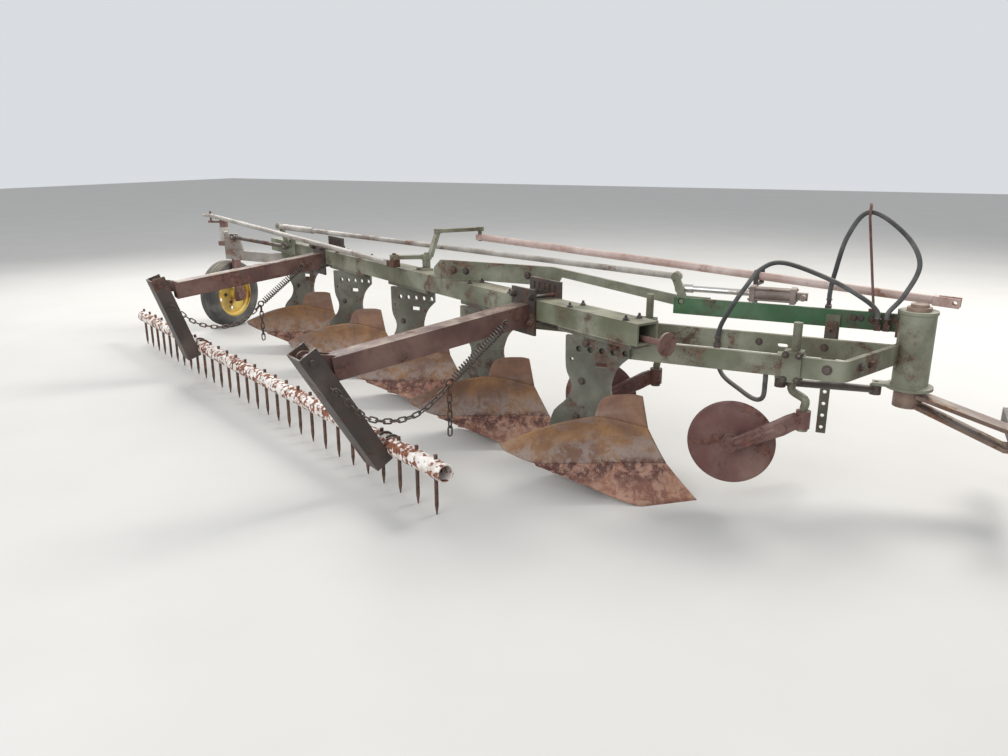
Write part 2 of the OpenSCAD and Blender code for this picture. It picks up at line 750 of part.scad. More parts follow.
module cylinder_barrel() {
    ear_x = 322;
    tie = barrel_d / 2 - 2;
    color("saddlebrown") {
        difference() {
            along_x(barrel_x0, barrel_x1, cylinder_y, cylinder_z, barrel_d / 2 - 4);
            along_x(barrel_x0 - 1, barrel_x1 - 40, cylinder_y, cylinder_z, barrel_d / 2 - 12);
        }
        difference() {
            for (x = [barrel_x0 - 6, barrel_x1 - 26])
                translate([x, cylinder_y - barrel_d / 2, cylinder_z - barrel_d / 2])
                    cube([26, barrel_d, barrel_d]);
            along_x(barrel_x0 - 20, barrel_x1 - 40, cylinder_y, cylinder_z, piston_d / 2 + 0.5);
        }
        for (y = [-0.75, 0.75]) for (z = [-0.75, 0.75])
            along_x(barrel_x0 - 14, barrel_x1 + 6, cylinder_y + y * tie, cylinder_z + z * tie, 5);
        translate([barrel_x1 - 1, cylinder_y - 15, cylinder_z - 18]) cube([54, 30, 36]);
        cross_pin(ear_x, cylinder_z, lift_plate_y + lift_plate_t + seat, cylinder_y + 30, 14);
    }
}

// Hoses, their support and fittings
hose_r = 11;
hose_sides = 10;
hose_step = 55;
support_y = lift_plate_y + lift_plate_t / 2;
ring_at = [577, support_y, 1303];
curl_r = 30;
curl_wire = 6;

loop_route = [[440, 610, 880], [440, 610, 920], [452, 602, 1010], [492, 585, 1190], ring_at,
              [729, 555, 1212], [805, 535, 1084], [762, 520, 946], [706, 520, 860], [702, 520, 820]];
side_route = [[-34, 393, 690], [-20, 393, 760], [28, 400, 860], [73, 410, 940], [140, 423, 1035],
              [244, 423, 1069], [455, 440, 999], [600, 480, 915], [656, 512, 860], [664, 520, 820]];
low_route = [[-50, 452, 636], [-48, 450, 590], [0, 410, 505], [100, 320, 468], [185, 210, 462],
             [238, 105, 505], [250, 52, 590], [250, 45, 636]];

function route_length(p) = let (fine = [for (k = [0:60]) smooth(p, k / 60)])
    len(p) < 2 ? 0 : [for (k = [0:59]) norm(fine[k + 1] - fine[k])] * [for (k = [0:59]) 1];

// Both ends of a hose stand upright on their fittings
module hose(route) {
    rings = ceil(route_length(route) / hose_step);
    n = len(route) - 1;
    color("darkslategray")
        swept_tube([for (k = [0:rings]) smooth(route, k / rings)], hose_r, hose_sides,
            [0, 0, sign(route[1][2] - route[0][2])], [0, 0, sign(route[n][2] - route[n - 1][2])]);
}

module hose_loop() { hose(loop_route); }
module hose_side() { hose(side_route); }
module hose_low() { hose(low_route); }

// Columns: hose end, side of the hose it stands on (-1 below, 1 above), face it is bolted to
function fittings() = [
    [loop_route[0], -1, lift_plate_y + lift_plate_t + seat],
    [loop_route[len(loop_route) - 1], -1, lift_plate_y - seat],
    [side_route[len(side_route) - 1], -1, lift_plate_y - seat],
    [side_route[0], -1, step_side + rail_face - seat],
    [low_route[0], 1, step_side + rail_face + rail_t + seat],
    [low_route[len(low_route) - 1], 1, rail_face + rail_t + seat]];

module hose_fittings() {
    nipple = 22;
    block = 28;
    color("goldenrod") for (f = fittings()) {
        p = f[0];
        z = f[1] < 0 ? p[2] - nipple - block : p[2] + nipple;
        y0 = min(f[2], p[1] - block / 2);
        y1 = max(f[2], p[1] + block / 2);
        translate([p[0] - block / 2, y0, z]) cube([block, y1 - y0, block]);
        translate([p[0], p[1], f[1] < 0 ? p[2] - nipple - 1 : p[2]])
            cylinder(h = nipple + 1, r = hose_r - 1);
    }
}

module hose_support() {
    foot = [640, support_y, lift_plate_z + lift_plate_h + seat];
    centre = ring_at + [0, 0, curl_r - curl_wire - hose_r - 7];
    low = centre - [0, 0, curl_r];
    color("saddlebrown") {
        translate(foot - [22, lift_plate_t / 2, 0]) cube([44, lift_plate_t, 14]);
        round_bar(foot + [0, 0, 6], low, curl_wire);
        translate(centre) rotate([90, 0, 90]) rotate([0, 0, -100])
            rotate_extrude(angle = 320) translate([curl_r, 0]) circle(r = curl_wire, $fn = 24);
    }
}

// Parking stand
stand_x = 470;
stand_w = 45;
stand_t = 12;
stand_z = 235;
stand_top = 790;
stand_slack = 0.8;
stand_y = lift_plate_y - seat - 16 - stand_t;
guide_low = 600;

module stand_guide() {
    y0 = stand_y - 8;
    depth = lift_plate_y - seat - y0;
    color("darkolivegreen") difference() {
        union() {
            translate([stand_x - 32, stand_y + stand_t + 4, guide_low])
                cube([64, lift_plate_y - seat - stand_y - stand_t - 4, lift_plate_z + 60 - guide_low]);
            translate([stand_x - 32, y0, guide_low]) cube([64, depth, 50]);
        }
        translate([stand_x - stand_w / 2 - stand_slack, stand_y - stand_slack, guide_low - 1])
            cube([stand_w + 2 * stand_slack, stand_t + 2 * stand_slack, 60]);
    }
}

module parking_stand() {
    color("darkolivegreen") difference() {
        translate([stand_x - stand_w / 2, stand_y, stand_z]) cube([stand_w, stand_t, stand_top - stand_z]);
        for (z = [stand_z + 30:60:stand_top - 20])
            cross_pin(stand_x, z, stand_y - 1, stand_y + stand_t + 1, 9);
    }
}

// Hitch
hub_r = 62;
strap_w = 120;
strap_h = 18;
bolt_r = 10;

module tongue() {
    hub_top = post_z - foot_t - seat;
    up = hitch_z + crossbar_w / 2 + seat + strap_h / 2;
    down = hitch_z - crossbar_w / 2 - seat - strap_h / 2;
    color("dimgray") {
        translate([post_x, post_y, hub_top - 85]) cylinder(h = 85, r = hub_r);
        translate([post_x, post_y, hub_top - 60])
            cylinder(h = post_top + cap_t + 30 - hub_top + 60, r = spindle_r);
        translate([post_x, post_y, post_top + cap_t + seat]) cylinder(h = 16, r = spindle_r + 14);
        for (p = [[hub_top - 24, up], [hub_top - 72, down]]) {
            flat_bar([post_x + 30, post_y, p[0]], [hitch_x - 56, post_y, p[1]], strap_w, strap_h);
            translate([hitch_x - 62, post_y - strap_w / 2 + 2, p[1] - strap_h / 2])
                cube([112, strap_w - 4, strap_h]);
        }
        for (y = [-35, 35]) translate([hitch_x, post_y + y, down - strap_h / 2 - 12])
            cylinder(h = up - down + strap_h + 24, r = bolt_r);
    }
}

link_pin_l = 60;

module crossbar() {
    half = pin_spread / 2 - link_pin_l / 2;
    color("dimgray") difference() {
        union() {
            translate([hitch_x - crossbar_w / 2, post_y - half, hitch_z - crossbar_w / 2])
                cube([crossbar_w, 2 * half, crossbar_w]);
            cross_pin(hitch_x, hitch_z, post_y - half - link_pin_l, post_y + half + link_pin_l, pin_r);
        }
        for (y = [-35, 35]) translate([hitch_x, post_y + y, hitch_z - crossbar_w])
            cylinder(h = 2 * crossbar_w, r = bolt_r + fit);
    }
}

// Steering linkage
crank_near = [-2099, 717, 0];
crank_mid = crank_z + crank_t / 2;
near_z = 890;
knuckle_pin_r = 12;
far_bar_z = 1085;
far_pin_r = 12;
steer_wall = 4;

module crank() {
    elbow = mix(crank_at, [steer_rear[0], steer_rear[1], 0], 0.22) + [0, 0, far_bar_z];
    far = [steer_rear[0], steer_rear[1], far_bar_z];
    color("darkolivegreen") difference() {
        union() {
            translate([crank_at[0], crank_at[1], crank_z]) cylinder(h = crank_t, r = 34);
            flat_bar(crank_at + [0, 0, crank_mid], crank_near + [0, 0, crank_mid], 54, 22);
            translate(crank_near + [0, 0, crank_z]) cylinder(h = crank_t, r = 28);
            flat_bar(crank_at + [0, 0, crank_mid] + 26 * unit(elbow - crank_at - [0, 0, far_bar_z]),
                elbow, 44, 22);
            translate(elbow - [0, 0, 13]) cylinder(h = 26, r = 25);
            flat_bar(elbow, far, 44, 22);
            translate(far - [0, 0, 13]) cylinder(h = 26, r = 26);
            translate([far[0], far[1], steer_rear[2] - 24])
                cylinder(h = far_bar_z - steer_rear[2] + 24, r = far_pin_r);
        }
        translate([crank_at[0], crank_at[1], crank_z - 1])
            cylinder(h = crank_t + 2, r = crank_pin_r + fit);
        translate(crank_near + [0, 0, crank_z - 1]) cylinder(h = crank_t + 2, r = knuckle_pin_r + fit);
    }
}

module steer_pipe_front() {
    along = unit(steer_front - steer_rear);
    level = unit([along[0], along[1], 0]);
    across = cross([0, 0, 1], level);
    color("rosybrown") difference() {
        union() {
            round_bar(steer_rear + 24 * along, steer_front - 70 * along, steer_d / 2);
            translate(steer_rear - [0, 0, 17]) cylinder(h = 34, r = 28);
            for (side = [-1, 1])
                flat_bar(steer_front - 90 * along + side * 25 * across,
                    steer_front + 22 * along + side * 25 * across, 10, 44);
            flat_bar(steer_front - 92 * along, steer_front - 70 * along, 50, 44);
        }
        round_bar(steer_rear + 60 * along, steer_front - 95 * along, steer_d / 2 - steer_wall);
        translate(steer_rear - [0, 0, 20]) cylinder(h = 40, r = far_pin_r + eye_gap);
        round_bar(steer_front - 60 * across, steer_front + 60 * across, 11);
    }
}

// Spindle of the tail wheel, and the ball on its arm
spindle_x = -4758;
spindle_y = 2030;
ball_r = 115;
ball_angle = 200.5;
ball = [spindle_x + ball_r * cos(ball_angle), spindle_y + ball_r * sin(ball_angle), 1000];
rear_heading = atan2(ball[1] - crank_near[1], ball[0] - crank_near[0]);
knuckle_reach = 34;
knuckle_t = 31;
knuckle_pin = 8;
rear_pipe_r = 18;

module at_knuckle() {
    translate(crank_near + [0, 0, near_z]) rotate([0, 0, rear_heading]) children();
}

module knuckle() {
    color("dimgray") at_knuckle() {
        translate([0, 0, -20]) cylinder(h = crank_z + crank_t + 10 - near_z + 20, r = knuckle_pin_r);
        translate([-24, -26, -20]) cube([34, 52, crank_z - seat - near_z + 20]);
        for (side = [-1, 1]) translate([-24, side * 21 - 5, -20]) cube([76, 10, 40]);
        translate([knuckle_reach, 32, 0]) rotate([90, 0, 0]) cylinder(h = 64, r = knuckle_pin);
    }
}

rear_pin = crank_near + [0, 0, near_z] + knuckle_reach * [cos(rear_heading), sin(rear_heading), 0];
stud_ball_r = 9;
ring_wall = 9;
ring_play = 3;
ring_along = [0, 48];
ring_across = [-5, 32];

// The ring is as much wider than its stud as the stud wanders in it
module steer_ring(grow) {
    r = stud_ball_r + ring_play + grow;
    hull() for (x = ring_along) for (y = ring_across) translate([x, y]) circle(r = r);
}

module steer_pipe_rear() {
    d = unit(ball - rear_pin);
    across = [-sin(rear_heading), cos(rear_heading), 0];
    color("silver") difference() {
        union() {
            flat_bar(rear_pin - 18 * d, rear_pin + 70 * d, knuckle_t, 34);
            round_bar(rear_pin + 60 * d, ball - 16 * d, rear_pipe_r);
            translate(ball - [0, 0, 10]) rotate([0, 0, rear_heading]) linear_extrude(20)
                steer_ring(ring_wall);
        }
        translate(ball - [0, 0, 30]) rotate([0, 0, rear_heading]) linear_extrude(60) steer_ring(0);
        round_bar(rear_pin - 40 * across, rear_pin + 40 * across, knuckle_pin + fit);
    }
}

// Tail wheel
sleeve_low = 775;
sleeve_high = 900;
kingpin_r = 24;
gusset_x = -4450;
gusset_z = 845;
beam_end = [-4560, 1843, tail_z];
gusset_t = 16;
carrier_z = 850;

function beam_y(x) = mix(tail_y, beam_end[1], (x - tail_x) / (beam_end[0] - tail_x));

module tail_arm() {
    gy = beam_y(gusset_x);
    color("tan") difference() {
        union() {
            flat_bar([tail_x, tail_y, tail_z], beam_end, beam_w, beam_h);
            cross_pin(tail_x, tail_z, tail_y - beam_w / 2, tail_y + beam_w / 2, beam_h / 2);
            upright_plate(gy - gusset_t / 2, gusset_t) polygon([
                [gusset_x + 90, tail_z + 20], [gusset_x + 34, gusset_z + 25], [-4545, gusset_z + 30],
                [-4570, gusset_z + 20], [-4570, tail_z - 30], [-4500, tail_z - 30]]);
            cross_pin(gusset_x, gusset_z, gy - 42, gy, knuckle_pin_r);
            flat_bar([-4548, gy, carrier_z], [spindle_x + 20, spindle_y - 20, carrier_z], 36, 60);
            translate([spindle_x, spindle_y, sleeve_low])
                cylinder(h = sleeve_high - sleeve_low, r = kingpin_r + 16);
        }
        translate([spindle_x, spindle_y, sleeve_low - 1])
            cylinder(h = sleeve_high - sleeve_low + 2, r = kingpin_r + fit);
        cross_pin(tail_x, tail_z, tail_y - beam_w, tail_y + beam_w, tail_pin_r + fit);
    }
}

leg_t = 25;
leg_x = spindle_x + tyre_w / 2 + 18;
stub_r = 20;
hub_half = tyre_w / 2 + 14;

module tail_yoke() {
    crown_h = 38;
    arm_root = [spindle_x, spindle_y, 946];
    stud_foot = [ball[0], ball[1], 946];
    color("maroon") {
        translate([spindle_x, spindle_y, sleeve_low - seat - crown_h])
            cylinder(h = 985 - sleeve_low + seat + crown_h, r = kingpin_r);
        translate([spindle_x - 42, spindle_y - 42, sleeve_low - seat - crown_h])
            cube([leg_x + leg_t - spindle_x + 42, 84, crown_h]);
        translate([leg_x, spindle_y - 42, tyre_r - 60])
            cube([leg_t, 84, sleeve_low - seat - tyre_r + 60]);
        along_x(spindle_x - tyre_w / 2 - 4, leg_x + 2, spindle_y, tyre_r, stub_r);
        along_x(leg_x - 3, leg_x + leg_t + 26, spindle_y, tyre_r, 46);
        translate([spindle_x, spindle_y, sleeve_high + seat]) cylinder(h = 75, r = 36);
        flat_bar(arm_root, stud_foot + 17 * unit(stud_foot - arm_root), 44, 18);
        translate(stud_foot) cylinder(h = 92, r = stud_ball_r);
    }
}

module on_axle() {
    translate([spindle_x, spindle_y, tyre_r]) rotate([0, 90, 0]) children();
}

bead_w = 120;

module tail_tyre() {
    half = tyre_w / 2;
    groove = 7;
    color("dimgray") on_axle() rotate_extrude($fn = 96) difference() {
        polygon([[rim_r, -bead_w / 2], [rim_r + 20, -bead_w / 2 - 12], [rim_r + 55, -half],
                 [tyre_r - 22, -half + 3], [tyre_r, -half + 22], [tyre_r, half - 22],
                 [tyre_r - 22, half - 3], [rim_r + 55, half], [rim_r + 20, bead_w / 2 + 12],
                 [rim_r, bead_w / 2]]);
        for (k = [-1:1]) translate([tyre_r - 12, k * 30 - groove / 2]) square([20, groove]);
    }
}

module tail_rim() {
    seat_r = rim_r - seat;
    color("gold") on_axle() difference() {
        union() {
            rotate_extrude($fn = 96) polygon([
                [seat_r, -bead_w / 2 - 2], [seat_r, bead_w / 2 + 2], [seat_r - 8, bead_w / 2 + 2],
                [seat_r - 8, bead_w / 2 - 14], [seat_r - 26, bead_w / 2 - 24],
                [seat_r - 26, -bead_w / 2 + 24], [seat_r - 8, -bead_w / 2 + 14],
                [seat_r - 8, -bead_w / 2 - 2]]);
            translate([0, 0, 4]) cylinder(h = 10, r = seat_r - 20);
            translate([0, 0, -tyre_w / 2 + 2]) cylinder(h = tyre_w - 4 + 14, r = 48);
            translate([0, 0, 13]) cylinder(h = 18, r1 = 96, r2 = 60);
        }
        translate([0, 0, -tyre_w]) cylinder(h = 2 * tyre_w, r = stub_r + fit);
        for (k = [0:4]) rotate([0, 0, 72 * k]) translate([132, 0, 0]) cylinder(h = 20, r = 16);
    }
}

// Lift linkage
lower_arm = 40;

module lever_outline(points, r) {
    for (p = points) translate(p) circle(r = r);
    for (k = [0:len(points) - 2]) {
        a = points[k];
        b = points[k + 1];
        translate(a) rotate([0, 0, atan2(b[1] - a[1], b[0] - a[0])]) translate([0, -r * 0.85])
            square([norm(b - a), 2 * r * 0.85]);
    }
}

function lever_top(x, z, l) = [x - l * sin(lever_lean), z + l * cos(lever_lean)];

module lift_lever() {
    top = lever_top(lever_x, lever_z, lever_l);
    low = lever_top(lever_x, lever_z, -lower_arm);
    y0 = lever_y - lever_t / 2;
    color("darkolivegreen") {
        difference() {
            upright_plate(y0, lever_t) lever_outline([top, [lever_x, lever_z], low], 24);
            cross_pin(lever_x, lever_z, y0 - 1, y0 + lever_t + 1, lever_pin_r + fit);
        }
        cross_pin(top[0], top[1], y0 - 36, y0 + 1, lever_pin_r);
        cross_pin(low[0], low[1], y0 - 36 - link_offset, y0 + 1, lever_pin_r);
    }
}

eye_w = 26;
open_eye_rise = 2.2;
open_eye_play = 2.8;
link_offset = 20;
rod_rear_y = lever_y - lever_t / 2 - 5 - eye_w / 2;
rocker_y = brace_y + brace_t + 4;
rocker_t = 16;

// The eye at b can be an open pivot, with play round its pin
module eye_rod(a, b, r, thick_part, rise = 0, play = 0) {
    d = unit(b - a);
    difference() {
        union() {
            round_bar(a + 20 * d, b - 20 * d, r);
            if (thick_part > 0) round_bar(b - thick_part * norm(b - a) * d, b - 60 * d, r + 6);
            for (p = [a, b]) cross_pin(p[0], p[2], p[1] - eye_w / 2, p[1] + eye_w / 2, 26);
        }
        cross_pin(a[0], a[2], a[1] - eye_w, a[1] + eye_w, lever_pin_r + fit);
        cross_pin(b[0], b[2] + rise, b[1] - eye_w, b[1] + eye_w, lever_pin_r + fit + play);
    }
}

module lift_rod() {
    front = lever_top(lever_foot_x, lever_foot_z, lever_l);
    rear = lever_top(lever_x, lever_z, lever_l);
    color("silver") eye_rod([front[0], cylinder_y, front[1]], [rear[0], rod_rear_y, rear[1]],
        lift_rod_d / 2, 0.125);
}

module tail_link() {
    low = lever_top(lever_x, lever_z, -lower_arm);
    color("dimgray") eye_rod([low[0], rod_rear_y - link_offset, low[1]],
        [gusset_x, beam_y(gusset_x) - gusset_t / 2 - 5 - eye_w / 2, gusset_z], 16, 0,
        open_eye_rise, open_eye_play);
}

module front_rocker() {
    top = lever_top(lever_foot_x, lever_foot_z, lever_l);
    middle = lever_top(lever_foot_x, lever_foot_z, cylinder_arm);
    color("darkolivegreen") {
        upright_plate(rocker_y, rocker_t) lever_outline([[lever_foot_x, lever_foot_z], middle, top], 24);
        cross_pin(lever_foot_x, lever_foot_z, lift_plate_y + 4, rocker_y + 1, 12);
        for (p = [middle, top])
            cross_pin(p[0], p[1], rocker_y + rocker_t - 1, cylinder_y + eye_w / 2 + 8, lever_pin_r);
    }
}

module cylinder_rod() {
    eye = lever_top(lever_foot_x, lever_foot_z, cylinder_arm);
    color("lightgray") difference() {
        union() {
            along_x(eye[0] + 18, barrel_x0 + 60, cylinder_y, eye[1], piston_d / 2);
            cross_pin(eye[0], eye[1], cylinder_y - eye_w / 2, cylinder_y + eye_w / 2, 25);
            along_x(eye[0] + 18, eye[0] + 64, cylinder_y, eye[1], 22);
        }
        cross_pin(eye[0], eye[1] + open_eye_rise, cylinder_y - eye_w, cylinder_y + eye_w,
            lever_pin_r + fit + open_eye_play);
    }
}

// Coulter yokes and discs
hub_y0 = -26;
axle_r = 14;

module at_disc() {
    translate([coulter_x, coulter_y, coulter_z]) rotate([0, 0, coulter_yaw]) children();
}

module coulter_yoke(i) {
    boss_top = swivel[2] + 20;
    boss_low = swivel[2] - 58 + seat;
    hub_at = [coulter_x + 8, coulter_y - 45, coulter_z];
    elbow = [342, coulter_y - 42, 418];
    color("sienna") translate(bottom_at(i)) {
        difference() {
            union() {
                translate([swivel[0], swivel[1], boss_low]) cylinder(h = boss_top - boss_low, r = 31);
                round_bar([swivel[0] - 20, swivel[1], 455], elbow, 19);
                cross_pin(elbow[0], elbow[2], elbow[1] - 22, elbow[1] + 22, 23);
                round_bar(elbow, hub_at, 19);
            }
            translate([swivel[0], swivel[1], boss_low - 1])
                cylinder(h = boss_top - boss_low + 2, r = shank_r - 3 + fit);
            at_disc() cross_pin(0, 0, hub_y0 - 0.5, 40, 60);
        }
        at_disc() {
            cross_pin(0, 0, -64, hub_y0 - 1, 30);
            cross_pin(0, 0, -60, 26, axle_r);
            cross_pin(0, 0, 14, 24, 24);
        }
    }
}

module coulter_disc(i) {
    bevel = 10;
    color("maroon") translate(bottom_at(i)) at_disc() difference() {
        union() {
            rotate([90, 0, 0]) rotate_extrude($fn = 96)
                polygon([[0, -disc_t / 2], [disc_r - bevel, -disc_t / 2], [disc_r, -0.5],
                         [disc_r, 0.5], [disc_r - bevel, disc_t / 2], [0, disc_t / 2]]);
            cross_pin(0, 0, hub_y0 + seat, 13, 42);
        }
        cross_pin(0, 0, hub_y0 - 1, 20, axle_r + fit);
    }
}

// Spike harrow
pipe_a = [80, -825, 220];
pipe_b = [4450, -1060, 230];
channel_w = 140;
channel_t = 8;
channel_back = -44;
channel_tip = 50;
pipe_bite = 8;
upright_head = 45;
chain_pin_at = 150;
spike_inset = 75;

function pipe_at(s) = mix(pipe_a, pipe_b, (s - pipe_a[0]) / (pipe_b[0] - pipe_a[0]));
function to_pipe(i) = pipe_at(ARMS[i][1]) - [ARMS[i][1], pivot_o, pivot_z];
function lean(i) = let (v = to_pipe(i)) atan2(v[1], -v[2])
    - asin((channel_tip + pipe_d / 2 - pipe_bite) / norm(v));
function upright_l(i) = norm(to_pipe(i)) + 30;
function chain_eye(i) = [hook_at(i)[0], pivot_o + chain_pin_at * sin(lean(i)),
                         pivot_z - chain_pin_at * cos(lean(i))];

module harrow_upright(i) {
    length = upright_l(i);
    half = channel_w / 2;
    axis = unit(pipe_b - pipe_a);
    centre = pipe_at(ARMS[i][1]);
    difference() {
        translate([ARMS[i][1], pivot_o, pivot_z]) rotate([lean(i), 0, 0]) {
            translate([-half, channel_back, -length])
                cube([channel_w, channel_t, length + upright_head]);
            for (x = [-half, half - channel_t]) translate([x, channel_back, -length])
                cube([channel_t, channel_tip - channel_back, length + upright_head]);
            rotate([0, 90, 0]) cylinder(h = channel_w + 24, r = pivot_r, center = true);
            translate([-half - 62, 0, -chain_pin_at]) rotate([0, 90, 0]) cylinder(h = 66, r = chain_pin_r);
        }
        round_bar(centre - 200 * axis, centre + 200 * axis, pipe_d / 2 + seat);
    }
    for (k = [-1, 1]) translate(centre + k * 30 * axis) rotate([lean(i), 0, 0])
        rotate([0, -90, 0]) rotate([0, 0, 90]) u_bolt();
}

// A round clamp that wraps the pipe and ends in the channel
module u_bolt() {
    ring = pipe_d / 2 + 7;
    rotate([0, 0, -90]) rotate_extrude(angle = 180) translate([ring, 0]) circle(r = 6, $fn = 24);
}

module harrow_uprights() {
    color("dimgray") slant_frame() for (i = [0, 1]) harrow_upright(i);
}

module spike(p) {
    tip = 45;
    translate([p[0], p[1], seat + tip]) cylinder(h = p[2] + pipe_d / 2 + 22 - tip, r = spike_d / 2);
    translate([p[0], p[1], seat]) cylinder(h = tip, r1 = 3, r2 = spike_d / 2);
}

module harrow_pipe() {
    count = floor((norm(pipe_b - pipe_a) - spike_inset - 40) / spike_pitch);
    color("whitesmoke") slant_frame() {
        difference() {
            round_bar(pipe_a, pipe_b, pipe_d / 2);
            bar_bore(pipe_a, pipe_b, pipe_d / 2 - pipe_wall);
        }
        for (k = [0:count]) spike(pipe_at(pipe_a[0] + spike_inset + k * spike_pitch));
    }
}

// Everything is moved from the first share's point to the middle between the link pins.
module place() {
    translate([-hitch_x, -post_y, -hitch_z]) children();
}

place() main_tube();
place() near_rail();
place() far_rail();
place() left_brace();
place() lift_plate();
place() hitch_post();
place() hitch_stay();
place() standards();
place() board_brackets();
place() moldboards();
place() shares();
place() landsides();
place() trash_boards();
place() harrow_arms();
place() arm_clamps();
place() arm_springs();
place() arm_chains();
place() pull_bolt();
place() coulter_shanks();
place() crank_post();
place() lever_bracket();
place() tail_bracket();
place() pipe_guide();
place() cylinder_barrel();
place() hose_support();
place() hose_fittings();
place() hose_loop();
place() hose_side();
place() hose_low();
place() stand_guide();
place() tongue();
place() crossbar();
place() steer_pipe_front();
place() crank();
place() knuckle();
place() steer_pipe_rear();
place() tail_arm();
place() tail_yoke();
place() tail_tyre();
place() tail_rim();
place() lift_lever();
place() lift_rod();
place() tail_link();
place() front_rocker();
place() cylinder_rod();
place() coulter_yoke(0);  // coulter_yoke_1
place() coulter_yoke(1);  // coulter_yoke_2
place() coulter_disc(0);  // coulter_disc_1
place() coulter_disc(1);  // coulter_disc_2
place() parking_stand();
place() harrow_uprights();
place() harrow_pipe();
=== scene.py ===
import json
import math
import random

import bmesh
import bpy
from mathutils import Matrix, Vector


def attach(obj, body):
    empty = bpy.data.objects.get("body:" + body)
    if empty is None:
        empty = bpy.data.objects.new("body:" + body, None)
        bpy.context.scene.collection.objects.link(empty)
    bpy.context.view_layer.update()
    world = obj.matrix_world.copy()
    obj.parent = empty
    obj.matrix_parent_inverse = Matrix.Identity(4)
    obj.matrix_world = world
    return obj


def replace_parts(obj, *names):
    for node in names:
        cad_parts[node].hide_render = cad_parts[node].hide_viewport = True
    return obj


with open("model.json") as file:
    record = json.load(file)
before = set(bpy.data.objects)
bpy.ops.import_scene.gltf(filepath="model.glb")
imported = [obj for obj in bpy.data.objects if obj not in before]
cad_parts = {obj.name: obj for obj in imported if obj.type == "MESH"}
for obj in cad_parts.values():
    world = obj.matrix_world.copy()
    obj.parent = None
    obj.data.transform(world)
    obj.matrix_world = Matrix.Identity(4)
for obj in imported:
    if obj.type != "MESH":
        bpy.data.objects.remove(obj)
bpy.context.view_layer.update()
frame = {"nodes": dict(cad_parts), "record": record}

# Places are in millimetres from the first share point on the ground. The shared frame is in
# metres from the hitch.
HITCH = Vector((1.290, 0.480, 0.345))
GROUND = -HITCH.z
random.seed(7)

# The bottoms and the step from one to the next, the bodies of the two coulters, and the main
# tube's line, which crosses the first standard
BOTTOMS = 5
COULTER_BODIES = ("coulter_yoke_1", "coulter_yoke_2")
STEP_X = 761
STEP_Y = 411
TUBE_AT = (-487, -4, 0)
SLANT = math.atan2(STEP_Y, STEP_X)
TUBE_BACK = Vector((-math.cos(SLANT), math.sin(SLANT), 0))
TUBE_LEFT = Vector((math.sin(SLANT), math.cos(SLANT), 0))


def at(x, y, z):
    """A place on the ground plan, in the shared frame."""
    return Vector((x, y, z)) / 1000 - HITCH


def along_tube(s, o, z):
    """A point beside the slanted main tube: s to its rear, o square to it to the left."""
    return at(*TUBE_AT) + (s * TUBE_BACK + o * TUBE_LEFT) / 1000 + Vector((0, 0, z / 1000))


def step_of(i):
    """The way from the first bottom to bottom i."""
    return Vector((-i * STEP_X / 1000, i * STEP_Y / 1000, 0))


# Camera, solved from the photograph

SENSOR = 36.0
PICTURE_W = 1008
FOCAL_PX = 815
CLIP_NEAR = 0.05
CLIP_FAR = 100
CAMERA_AT = (-0.585, -4.034, 1.241)
CAMERA_RIGHT = Vector((0.9016, 0.4326, 0.0))
CAMERA_UP = Vector((-0.1178, 0.2456, 0.9622))


def make_camera():
    data = bpy.data.cameras.new("photo_camera")
    data.sensor_width = SENSOR
    data.lens = FOCAL_PX / PICTURE_W * SENSOR
    data.clip_start = CLIP_NEAR
    data.clip_end = CLIP_FAR
    camera = bpy.data.objects.new("photo_camera", data)
    bpy.context.collection.objects.link(camera)
    right = CAMERA_RIGHT.normalized()
    up = CAMERA_UP.normalized()
    back = right.cross(up)
    turn = Matrix((right, up, back)).transposed()
    camera.matrix_world = Matrix.Translation(CAMERA_AT) @ turn.to_4x4()
    bpy.context.scene.camera = camera


make_camera()

# Materials

# Sockets of Blender's mix node that carry colours, and of its share
MIX_SHARE = 0
MIX_A = 6
MIX_B = 7
MIX_RESULT = 2

# How far up a face's normal points where dust begins to lie, and where it is thickest
DUST_FROM = (0.35, 0.95)


